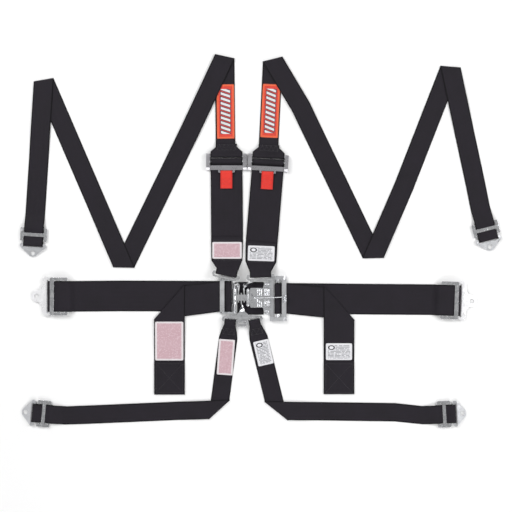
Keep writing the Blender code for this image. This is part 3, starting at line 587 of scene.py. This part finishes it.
def upper_straps():
    """The folded straps from the adjusters to the shoulder brackets."""
    left = Strap(UPPER_HALF)
    left.run(
        (-43, 340),
        [
            (-43, 353, SECOND), (-43, 378, SECOND), (-43, 390, FLOOR),
            (-45, 589, FLOOR, {"rise": PATCH_RISE}),
            (-95, 482, FLOOR + PATCH_RISE), (-130, 408, 2.4), (-170, 326, FLOOR),
            (-292, 75, FLOOR, {"rise": LAYER}),
            (-323.5, 148.5, SECOND), (-351, 213, FLOOR),
            (-488, 532, FLOOR, {"rise": LAYER}),
            (-496, 407, SECOND), (-500, 342, FLOOR),
        ],
        SHOULDER_END["left"].translation,
    )
    right = Strap(UPPER_HALF)
    right.run(
        (61.5, 340),
        [
            (62.2, 351, SECOND), (62.9, 376, SECOND), (63.4, 388, FLOOR),
            (73, 582, FLOOR, {"rise": PATCH_RISE}),
            (133.4, 480.6, FLOOR + PATCH_RISE), (141, 468, 3.5), (181, 385, FLOOR),
            (319, 98, FLOOR, {"rise": LAYER}),
            (350.7, 171.4, SECOND), (378.4, 235.7, FLOOR), (394, 272, FLOOR),
            (508, 564, FLOOR, {"rise": LAYER}),
            (529, 466, SECOND), (542.6, 402.6, FLOOR), (570, 275, FLOOR),
        ],
        SHOULDER_END["right"].translation,
    )
    for side, strap, phase in (("left", left, 0.3), ("right", right, 1.9)):
        strap.profile(SHOULDER_END[side], narrow_end(), turns=True)
        piece = ribbon(f"{side}_upper_webbing", strap.lines, BLACK, phase=phase)
        settle(piece, f"{side}_upper_strap")


def transitions():
    """The wide loop round each adjuster's rear bar, sewn over the end of the upper strap."""
    narrow = UPPER_HALF + 1.5
    for side, place in ADJUSTER.items():
        loop = Strap(SHOULDER_HALF)
        loop.profile(
            place,
            [
                (43, THIRD, narrow), (36, THIRD, narrow), (24, THIRD + 1.5),
                (REAR_BAR_X, REAR_BAR_Z + REAR_WRAP),
                *arc(REAR_BAR_X, REAR_BAR_Z, REAR_WRAP, 90, 270, 14)[1:],
                (24, FLOOR), (36, FLOOR, narrow), (43, FLOOR, narrow),
            ],
            heading=-1,
        )
        piece = ribbon(f"{side}_transition_webbing", loop.lines, BLACK)
        settle(piece, f"{side}_transition")


def lower_straps():
    """The wide straps from the tongues to the shoulder adjusters."""
    ways = {
        "left": {
            "tail": [(-39, 151, SECOND), (-40, 290, SECOND)],
            "main": [
                (-40, 290, FLOOR), (-39, 149, FLOOR), (-39, 139, SECOND),
                (-39.3, 91, SECOND, {"half": 38}),
            ],
            "back": [(-39.3, 91, FLOOR, {"half": 38}), (-39, 137, FLOOR)],
        },
        "right": {
            "tail": [(46, 138, SECOND), (58.5, 290, SECOND)],
            "main": [
                (58.5, 290, FLOOR), (45.8, 136, FLOOR), (45.3, 129, SECOND),
                (43.8, 88, SECOND, {"half": 38}),
            ],
            "back": [(43.8, 88, FLOOR, {"half": 38}), (45.2, 127, FLOOR)],
        },
    }
    for side, way in ways.items():
        bar, head = ADJUSTER[side], HEAD[side]
        under_bar, at_head = bar @ Vector((FRONT_BAR_X, 0, 0)), head @ Vector((-9, 0, 0))
        strap = Strap(SHOULDER_HALF)
        strap.run(way["main"][1], way["tail"], under_bar)
        strap.profile(bar, [(FRONT_BAR_X, SECOND), *lock_wrap(), (FRONT_BAR_X, FLOOR)], turns=True)
        strap.run(under_bar, way["main"], at_head)
        strap.profile(head, [(x, z, 26) for x, z in head_loop(TONGUE_Z)], turns=True)
        strap.run(at_head, way["back"], way["main"][1])
        piece = ribbon(f"{side}_lower_webbing", strap.lines, BLACK, phase=0.8)
        settle(piece, f"{side}_lower_strap")


def lap_straps():
    """The lap straps, with their folded tails."""
    ways = {
        "left": {
            "hem": (-180, -158, SECOND), "end": (-180, -236, SECOND, {"rise": -LAYER}),
            "up": [(-180, -160, FLOOR), (-180, -57, SECOND + LAYER)],
            "crease": (-180, -13, SECOND + LAYER, {"rise": -LAYER}),
            "main": [(-300, 4, FLOOR)],
        },
        "right": {
            "hem": (235, -158, SECOND), "end": (235, -235, SECOND, {"rise": -LAYER}),
            "up": [(235, -160, FLOOR), (235, -57, SECOND + LAYER)],
            "crease": (235, -15, SECOND + LAYER, {"rise": -LAYER}),
            "main": [(300, -4, FLOOR)],
        },
    }
    for side, way in ways.items():
        bar, end = LAP_ADJUSTER[side], LAP_END[side]
        under_bar = bar @ Vector((FRONT_BAR_X, 0, 0))
        strap = Strap(LAP_HALF)
        strap.run(way["crease"], [way["hem"], way["end"], *way["up"], way["crease"]], under_bar)
        strap.profile(bar, [(FRONT_BAR_X, SECOND), *lock_wrap(), (FRONT_BAR_X, FLOOR)], turns=True)
        strap.run(under_bar, way["main"], end.translation)
        strap.profile(end, wide_end(), turns=True)
        piece = ribbon(f"{side}_lap_webbing", strap.lines, BLACK, phase=2.6)
        settle(piece, f"{side}_lap_strap")


def sub_straps():
    """The crotch straps from the double tongue to their brackets."""
    ways = {
        "left": [
            (-36, -98, FLOOR), (-59, -274, FLOOR, {"rise": LAYER}),
            (-115, -276, SECOND), (-160, -277.5, FLOOR), (-380, -287, FLOOR),
        ],
        "right": [
            (38, -98, FLOOR), (82, -277, FLOOR, {"rise": LAYER}),
            (138, -278, SECOND), (185, -278.5, FLOOR), (372, -281, FLOOR),
        ],
    }
    for side, way in ways.items():
        head, end = SUB_LOOP[side], SUB_END[side]
        strap = Strap(SUB_HALF)
        strap.profile(
            head,
            [(-34, FLOOR, 20), (-24, FLOOR, 18)]
            + [(x, z, 14) for x, z in reversed(head_loop(SUB_TONGUE_Z))]
            + [(-25, SECOND + 1, 19)],
            turns=True,
        )
        strap.run(head.translation, way, end.translation)
        strap.profile(end, narrow_end(), turns=True)
        piece = ribbon(f"{side}_sub_webbing", strap.lines, BLACK, phase=4.4)
        settle(piece, f"{side}_sub_strap")


def pull_tabs():
    """The red tabs that free the shoulder adjusters."""
    for side, place in ADJUSTER.items():
        tab = Strap(TAB_HALF)
        tab.profile(
            place,
            [
                (TAB_END, TAB_BAR_Z - TAB_LOOP), (TAB_BAR_X, TAB_BAR_Z - TAB_LOOP),
                *arc(TAB_BAR_X, TAB_BAR_Z, TAB_LOOP, -90, 90)[1:],
                (TAB_BAR_X - 14, TAB_BAR_Z - TAB_LOOP + LAYER),
                (TAB_END, TAB_BAR_Z - TAB_LOOP + LAYER),
            ],
        )
        piece = ribbon(f"{side}_tab_webbing", tab.lines, RED)
        settle(piece, f"{side}_pull_tab")


# --- Labels, patches and stitching ------------------------------------------------------------


def surface_of(*names):
    """A ray caster onto pieces: the height in millimetres of the top surface at (x, y)."""
    points, faces = [], []
    for name in names:
        mesh = bpy.data.objects[name].data
        base = len(points)
        points.extend(v.co / MM for v in mesh.vertices)
        faces.extend(tuple(i + base for i in p.vertices) for p in mesh.polygons)
    tree = BVHTree.FromPolygons(points, faces)

    def height(x, y):
        hit = tree.ray_cast(Vector((x, y, RAY_START)), Vector((0, 0, -1)))[0]
        return hit.z if hit else 0.0

    return height


def card(name, place, size, height, thickness, mat):
    """A rounded cloth rectangle that lies on the surface below it."""
    columns, rows = 16, max(12, int(size[1] / size[0] * 16))
    half = np.array(size) / 2
    rim = 0.9
    across = np.linspace(-1, 1, columns + 1) * half[0]
    along = np.linspace(-1, 1, rows + 1) * half[1]
    x, y = np.meshgrid(across, along)
    corner = 2.2
    ax, ay = np.abs(x) - (half[0] - corner), np.abs(y) - (half[1] - corner)
    outside = np.hypot(np.maximum(ax, 0), np.maximum(ay, 0))
    pull = np.where((ax > 0) & (ay > 0), np.minimum(1, corner / np.maximum(outside, 1e-6)), 1)
    x = np.where((ax > 0) & (ay > 0), np.sign(x) * (half[0] - corner + ax * pull), x)
    y = np.where((ax > 0) & (ay > 0), np.sign(y) * (half[1] - corner + ay * pull), y)
    edge = np.minimum(half[0] - np.abs(x), half[1] - np.abs(y))
    turned_down = np.clip(edge / rim, 0, 1)
    flat = np.array([tuple(place @ Vector((u, v, 0))) for u, v in zip(x.ravel(), y.ravel())])
    level = np.array([height(px, py) for px, py, _ in flat])
    pucker = 0.05 * np.sin(x.ravel() / 2.9) * np.cos(y.ravel() / 3.7)
    top, bottom = flat.copy(), flat.copy()
    top[:, 2] = level + 0.12 + thickness * (0.35 + 0.65 * turned_down.ravel()) + pucker
    bottom[:, 2] = level + 0.1
    grid = np.arange(top.shape[0]).reshape(rows + 1, columns + 1)
    faces = []
    for i in range(rows):
        for j in range(columns):
            quad = (grid[i, j], grid[i, j + 1], grid[i + 1, j + 1], grid[i + 1, j])
            faces.append(tuple(int(k) for k in quad))
            faces.append(tuple(int(k) + len(top) for k in reversed(quad)))
    ring = [*grid[0, :], *grid[1:, -1], *grid[-1, -2::-1], *grid[-2:0:-1, 0]]
    for a, b in zip(ring, ring[1:] + ring[:1]):
        faces.append((int(b), int(a), int(a) + len(top), int(b) + len(top)))
    uvs = np.stack([x.ravel(), y.ravel()], axis=1)
    obj = cloth_object(
        name, np.vstack([top, bottom]), faces, np.vstack([uvs, uvs]),
        np.concatenate([edge.ravel(), edge.ravel()]), mat,
    )
    obj["width"], obj["length"] = size[0] * MM, size[1] * MM
    return obj


def tube(points, radius, sides=10, closed=False):
    """Points and faces of a round wire along a smooth line, in millimetres."""
    line = np.array(points, float)
    if closed:
        ahead = np.roll(line, -1, axis=0) - np.roll(line, 1, axis=0)
    else:
        ahead = np.gradient(line, axis=0)
    ahead = unit(ahead)
    side = np.cross(ahead, [0.0, 0.0, 1.0])
    weak = np.linalg.norm(side, axis=1) < 0.15
    side[weak] = np.cross(ahead[weak], [0.0, 1.0, 0.0])
    side = unit(side)
    for k in range(1, len(line)):
        across = side[k - 1] - ahead[k] * np.dot(side[k - 1], ahead[k])
        side[k] = across / np.linalg.norm(across)
    up = np.cross(side, ahead)
    turn = 2 * pi * np.arange(sides) / sides
    radii = np.full(len(line), radius) if np.isscalar(radius) else np.array(radius)
    ring = (
        side[:, None, :] * np.cos(turn)[None, :, None]
        + up[:, None, :] * np.sin(turn)[None, :, None]
    )
    out = line[:, None, :] + ring * radii[:, None, None]
    faces = []
    last = len(line) if closed else len(line) - 1
    for i in range(last):
        n = (i + 1) % len(line)
        for j in range(sides):
            m = (j + 1) % sides
            faces.append((i * sides + j, i * sides + m, n * sides + m, n * sides + j))
    if not closed:
        faces.append(tuple(range(sides))[::-1])
        faces.append(tuple((len(line) - 1) * sides + j for j in range(sides)))
    return out.reshape(-1, 3), faces


def solid_object(name, parts, mat, angle=40):
    """One mesh from several (points, faces) in millimetres."""
    points, faces = [], []
    for part_points, part_faces in parts:
        base = sum(len(p) for p in points)
        points.append(np.array(part_points))
        faces.extend(tuple(i + base for i in f) for f in part_faces)
    mesh = bpy.data.meshes.new(name)
    mesh.from_pydata([tuple(p) for p in np.vstack(points) * MM], [], faces)
    mesh.polygons.foreach_set("use_smooth", [True] * len(faces))
    mesh.set_sharp_from_angle(angle=radians(angle))
    mesh.materials.append(mat)
    obj = bpy.data.objects.new(name, mesh)
    bpy.context.scene.collection.objects.link(obj)
    return obj


def stitches(name, paths, height, mat, node):
    """Threads sunk into the cloth along flat paths, one short arched thread for each stitch."""
    parts = []
    for path in paths:
        for start, end in zip(path, path[1:]):
            start, end = Vector(start[:2]), Vector(end[:2])
            length = (end - start).length
            count = max(1, round(length / STITCH_PITCH))
            ahead = (end - start).normalized()
            for k in range(count):
                middle = start + ahead * length * (k + 0.5) / count
                line = []
                for t in (-1, -0.55, 0, 0.55, 1):
                    at = middle + ahead * t * STITCH / 2
                    sink = 0.26 * t * t
                    line.append((at.x, at.y, height(at.x, at.y) + 0.16 - sink))
                radii = [THREAD_R * r for r in (0.45, 0.9, 1, 0.9, 0.45)]
                parts.append(tube(line, radii, 6))
    obj = solid_object(name, parts, mat, 80)
    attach(obj, NODES[node]["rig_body"])


def at(place, points):
    """Flat points of a fitting, in the harness's axes."""
    return [tuple((place @ Vector((x, y, 0))).xy) for x, y in points]


def rectangle(place, x, y):
    """A closed path round a box."""
    return at(place, [(x[0], y[0]), (x[1], y[0]), (x[1], y[1]), (x[0], y[1]), (x[0], y[0])])


def zigzag(place, x, y, turns):
    """A path that crosses a box from side to side."""
    points = [(x[k % 2], y[0] + (y[1] - y[0]) * k / turns) for k in range(turns + 1)]
    return at(place, points)


def tags():
    """The sewn labels and patches, each on the webbing below it and sewn round its edge."""
    ground = {"left": (rgb(0.68, 0.50, 0.545), rgb(0.76, 0.71, 0.73), rgb(0.46, 0.24, 0.28)),
              "right": (rgb(0.78, 0.78, 0.81), rgb(0.78, 0.78, 0.81), rgb(0.14, 0.14, 0.16))}
    tops = {"lower": "lower_webbing", "sub": "sub_webbing", "lap": "lap_webbing"}
    places = {
        ("left", "lower"): place_at(-39, 115.5, 0), ("right", "lower"): place_at(44.5, 108, -2),
        ("left", "sub"): place_at(-42, -146, -4), ("right", "sub"): place_at(50, -135, 13),
        ("left", "lap"): place_at(-180.5, -106.5, 0), ("right", "lap"): place_at(235, -132.5, 0),
    }
    for (side, kind), place in places.items():
        size = LABEL_SIZE[kind][side]
        height = surface_of(f"{side}_{tops[kind]}")
        mat = printed_label(
            f"{side}_{kind}_print", size, *ground[side], 0.0026 if side == "left" else 0.0034,
            side == "right",
        )
        piece = card(f"{side}_{kind}_tag", place, size, height, 0.42, mat)
        settle(piece, f"{side}_{kind}_label")
        inset = [half - 1.9 for half in (size[0] / 2, size[1] / 2)]
        edge = rectangle(place, (-inset[0], inset[0]), (-inset[1], inset[1]))
        stitches(
            f"{side}_{kind}_tag_stitches", [edge], surface_of(piece.name), PALE_THREAD,
            f"{side}_{kind}_label",
        )
    for side, place in (("left", place_at(-42.7, 455.5, 0.6)), ("right", place_at(67, 457, -2.8))):
        size = PATCH_SIZE[side]
        mat = embroidery(f"{side}_embroidery", size)
        piece = card(f"{side}_badge", place, size, lambda x, y: WEB + 0.02, 0.7, mat)
        settle(piece, f"{side}_patch")
        half = (size[0] / 2 - 1.1, size[1] / 2 - 1.1)
        corner = 2.5
        outline = []
        for sx, sy, start in ((1, 1, 0), (-1, 1, 90), (-1, -1, 180), (1, -1, 270)):
            for k in range(5):
                turn = radians(start + 22.5 * k)
                x = sx * (half[0] - corner) + corner * cos(turn)
                y = sy * (half[1] - corner) + corner * sin(turn)
                outline.append((x, y))
        line = []
        for start, end in zip(outline, outline[1:] + outline[:1]):
            count = max(1, int(np.hypot(end[0] - start[0], end[1] - start[1]) / 1.2))
            for k in range(count):
                t = k / count
                x, y = (start[i] + (end[i] - start[i]) * t for i in (0, 1))
                px, py, _ = place @ Vector((x, y, 0))
                line.append((px, py, WEB + 0.55))
        radii = [0.72 + 0.09 * (k % 2) for k in range(len(line))]
        cord = tube(line, radii, 8, closed=True)
        rim = solid_object(f"{side}_badge_rim", [cord], ORANGE_THREAD, 80)
        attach(rim, NODES[f"{side}_patch"]["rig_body"])


def seams():
    """Box stitching where webbing is doubled and sewn."""
    for side, place in ADJUSTER.items():
        upper = surface_of(f"{side}_transition_webbing")
        stitches(
            f"{side}_transition_stitches",
            [rectangle(place, (27.5, 41), (-22, 22)), zigzag(place, (27.5, 41), (-22, 22), 8)],
            upper, BLACK_THREAD, f"{side}_transition",
        )
        tab = surface_of(f"{side}_tab_webbing")
        box = ((-56, -43), (-11, 11))
        stitches(
            f"{side}_tab_stitches",
            [rectangle(place, *box), at(place, [(-56, -11), (-43, 11)]),
             at(place, [(-43, -11), (-56, 11)]), at(place, [(-63.5, -11), (-63.5, 11)])],
            tab, RED_THREAD, f"{side}_pull_tab",
        )
    sewn = {"left": place_at(-39, 115, 0), "right": place_at(44.4, 108, -2)}
    for side, place in sewn.items():
        lower = surface_of(f"{side}_lower_webbing")
        near, far = (-25.2, 24.6) if side == "left" else (-21.8, 21.2)
        stitches(
            f"{side}_lower_stitches",
            [at(place, [(-34, y), (34, y)]) for y in (near, near + 2.2, far, far + 1.8)],
            lower, BLACK_THREAD, f"{side}_lower_strap",
        )
    for side, x in (("left", -180), ("right", 235)):
        hem = place_at(x, -197, 0)
        tail = surface_of(f"{side}_lap_webbing")
        stitches(
            f"{side}_hem_stitches",
            [rectangle(hem, (-32, 32), (-35, 35)), at(hem, [(-32, -35), (32, 35)]),
             at(hem, [(32, -35), (-32, 35)])],
            tail, BLACK_THREAD, f"{side}_lap_strap",
        )
    for side, place in SUB_LOOP.items():
        top = surface_of(f"{side}_sub_webbing")
        stitches(
            f"{side}_sub_stitches",
            [rectangle(place, (-33, -19), (-14, 14)), zigzag(place, (-33, -19), (-14, 14), 4)],
            top, BLACK_THREAD, f"{side}_sub_strap",
        )


def buckle_pad():
    """The pad between the buckle and the wearer, a stiff cloth panel with a sewn edge."""
    low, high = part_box("buckle_pad")
    centre, size = (low + high) / 2 / MM, (high - low) / MM
    place = place_at(centre.x, centre.y, 0)
    piece = card("pad_panel", place, (size.x, size.y), lambda x, y: -0.1, 1.35, BLACK)
    settle(piece, "buckle_pad")
    inset = [half - 3.2 for half in (size.x / 2, size.y / 2)]
    edge = rectangle(place, (-inset[0], inset[0]), (-inset[1], inset[1]))
    stitches(
        "pad_stitches", [edge], surface_of("pad_panel"), BLACK_THREAD, "buckle_pad"
    )


# --- Hardware ---------------------------------------------------------------------------------


def hardware():
    """CAD nodes that keep their shape: plated finishes, and edges rounded as in stamping."""
    widths = {"bracket": 0.7, "adjuster": 0.55, "slide": 0.5, "tongue": 0.7, "link_plate": 0.6,
              "latch_base": 0.45, "latch_lever": 0.4, "latch_hinge_pin": 0.5}
    for node, obj in NODES.items():
        if obj.hide_render:
            continue
        width = next(w for ending, w in widths.items() if node.endswith(ending))
        finish = CHROME
        if node.endswith(("bracket", "adjuster")) or node in ("latch_base", "latch_hinge_pin"):
            finish = ZINC
        if node.endswith("lap_bracket"):
            finish = PALE_ZINC
        if node in ("left_adjuster", "right_adjuster"):
            finish = DARK_ZINC
        obj.data.materials.clear()
        obj.data.materials.append(finish)
        weld = obj.modifiers.new("Weld", "WELD")
        weld.merge_threshold = WELD_GAP * MM
        bevel = obj.modifiers.new("Bevel", "BEVEL")
        bevel.width = width * MM
        bevel.segments = BEVEL_SEGMENTS
        bevel.limit_method = "ANGLE"
        bevel.angle_limit = radians(BEVEL_ANGLE)
        bevel.use_clamp_overlap = True
        flatten = obj.modifiers.new("WeightedNormal", "WEIGHTED_NORMAL")
        flatten.mode = "FACE_AREA"
        flatten.weight = 90
        obj.data.polygons.foreach_set("use_smooth", [True] * len(obj.data.polygons))


def turned(profile, sides, flutes=0.0):
    """Points and faces of a turned shape about the local x axis; (x, radius) with sealed ends."""
    points, faces = [], []
    for x, radius, fluted in profile:
        for k in range(sides):
            r = radius - (flutes if fluted and k % 2 else 0)
            turn = 2 * pi * k / sides
            points.append((x, r * cos(turn), r * sin(turn)))
    for i in range(len(profile) - 1):
        for j in range(sides):
            m = (j + 1) % sides
            faces.append((i * sides + j, i * sides + m, (i + 1) * sides + m, (i + 1) * sides + j))
    faces.append(tuple(range(sides))[::-1])
    faces.append(tuple((len(profile) - 1) * sides + j for j in range(sides)))
    return points, faces


def placed(points, matrix):
    """Points moved by a matrix."""
    return [tuple(matrix @ Vector(p)) for p in points]


def locking_bars():
    """Knurled bars with smooth turned ends that ride in the adjusters' slots."""
    bars = [(f"{side}_locking_bar", ADJUSTER[side], SHOULDER_HALF + 1.5, 3.5) for side in ADJUSTER]
    bars.append(("left_lap_locking_bar", LAP_ADJUSTER["left"], LAP_HALF + 0.8, 2.7))
    bars.append(("right_lap_locking_bar", LAP_ADJUSTER["right"], 45.5, 3.5))
    for node, place, inner, pin in bars:
        end = inner - 0.5
        half = [(end - 1.2, LOCK_R, True), (end - 0.9, LOCK_R, False), (end, LOCK_R - 0.4, False),
                (end, LOCK_PIN_R, False), (inner + pin - 0.6, LOCK_PIN_R, False),
                (inner + pin, LOCK_PIN_R - 0.5, False)]
        profile = [(-x, r, f) for x, r, f in reversed(half)] + half
        points, faces = turned(profile, 72, 0.28)
        turn = place @ Matrix.Translation((0, 0, LOCK_Z)) @ Matrix.Rotation(pi / 2, 4, "Z")
        piece = solid_object(f"{node}_knurled", [(placed(points, turn), faces)], CHROME, 30)
        settle(piece, node)


def rivets():
    """Domed heads on the latch frame's rivets."""
    for node in ("rivet_upper", "rivet_lower"):
        low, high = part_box(node)
        centre = (low + high) / 2 / MM
        base, top, head = 5.9, 7.6, 4.6
        profile = [(low.z / MM, 2.5, False), (base, 2.5, False), (base, head - 0.3, False),
                   (base + 0.25, head, False)]
        dome = [(base + 0.25 + (top - base) * sin(t), head * cos(t) ** 0.6, False)
                for t in np.linspace(0.15, 1.45, 8)]
        points, faces = turned(profile + dome, 40)
        upright = Matrix.Translation((centre.x, centre.y, 0)) @ Matrix.Rotation(-pi / 2, 4, "Y")
        piece = solid_object(f"{node}_domed", [(placed(points, upright), faces)], ZINC, 35)
        settle(piece, node)


def keeper_wire():
    """A spring wire along the lever that ends in three close turns on the adjuster's bar."""
    wire_r, radius, pitch, turns, steps = 1.3, 4.0, 5.6, 3, 28
    turn_x, height, z = 103.0, 6.8 + GAP + 4.0 + 1.3, 18.7
    line = [(27 + k * 2.2, 0.05 * k, z + 0.15 * sin(k / 3)) for k in range(20)]
    line += [(70 + 33 * t / 16, 1 + 4.5 * (t / 16) ** 4, z - (z - height - radius) * (t / 16) ** 2)
             for t in range(1, 16)]
    for k in range(turns * steps + 1):
        angle = pi / 2 - 2 * pi * k / steps
        x, y = turn_x + radius * cos(angle), 5.5 - pitch * k / steps
        line.append((x, y, height + radius * sin(angle)))
    radii = [wire_r] * len(line)
    radii[0] = radii[-1] = wire_r * 0.55
    piece = solid_object("keeper_wire_sprung", [tube(line, radii, 14)], CHROME, 60)
    settle(piece, "keeper_wire")


# --- Stage ------------------------------------------------------------------------------------


def stage():
    """A white sweep, soft light from all round, and a camera straight above the harness."""
    mesh = bpy.data.meshes.new("floor")
    size, level = FLOOR_SIZE, FLOOR_LEVEL
    mesh.from_pydata([(-size, -size, level), (size, -size, level), (size, size, level),
                      (-size, size, level)], [], [(0, 1, 2, 3)])
    floor = bpy.data.objects.new("floor", mesh)
    made = Shader("floor_paper", Roughness=0.9)
    paper = made.noise(3.0, 2.0)
    made.feed("Base Color", made.mix(paper, rgb(0.93, 0.93, 0.93), rgb(0.96, 0.96, 0.96)))
    mesh.materials.append(made.material)
    bpy.context.scene.collection.objects.link(floor)

    def area(name, location, energy, width, depth):
        lamp = bpy.data.lights.new(name, "AREA")
        lamp.shape, lamp.size, lamp.size_y, lamp.energy = "RECTANGLE", width, depth, energy
        obj = bpy.data.objects.new(name, lamp)
        obj.location = location
        aim = Vector((0.03, 0.1, 0)) - Vector(location)
        obj.rotation_euler = aim.to_track_quat("-Z", "Y").to_euler()
        bpy.context.scene.collection.objects.link(obj)

    area("key_light", (-1.6, 1.5, 2.1), 42, 1.5, 1.5)
    area("fill_light", (1.9, 0.6, 1.8), 26, 1.4, 1.4)
    area("low_light", (0.2, -2.0, 1.5), 20, 2.0, 0.9)

    world = bpy.data.worlds.new("studio")
    world.use_nodes = True
    bpy.context.scene.world = world
    tree = world.node_tree
    place = tree.nodes.new("ShaderNodeTexCoord")
    split = tree.nodes.new("ShaderNodeSeparateXYZ")
    bands = tree.nodes.new("ShaderNodeValToRGB")
    tree.links.new(place.outputs["Generated"], split.inputs[0])
    tree.links.new(split.outputs[2], bands.inputs[0])
    tree.links.new(bands.outputs[0], tree.nodes["Background"].inputs["Color"])
    ramp = bands.color_ramp
    for height, _ in SKY[1:-1]:
        ramp.elements.new(height)
    for element, (height, value) in zip(ramp.elements, SKY):
        element.position = height
        element.color = rgb(value, value, value)
    tree.nodes["Background"].inputs["Strength"].default_value = SKY_STRENGTH

    lens, sensor, view = 85.0, 36.0, 1.2544
    camera = bpy.data.cameras.new("camera")
    camera.lens, camera.sensor_width = lens, sensor
    obj = bpy.data.objects.new("camera", camera)
    obj.location = (0.03185, 0.1017, view * lens / sensor)
    bpy.context.scene.collection.objects.link(obj)
    bpy.context.scene.camera = obj
    bpy.context.scene.view_settings.view_transform = "Standard"


stage()
upper_straps()
transitions()
lower_straps()
lap_straps()
sub_straps()
pull_tabs()
tags()
seams()
buckle_pad()
locking_bars()
rivets()
keeper_wire()
hardware()
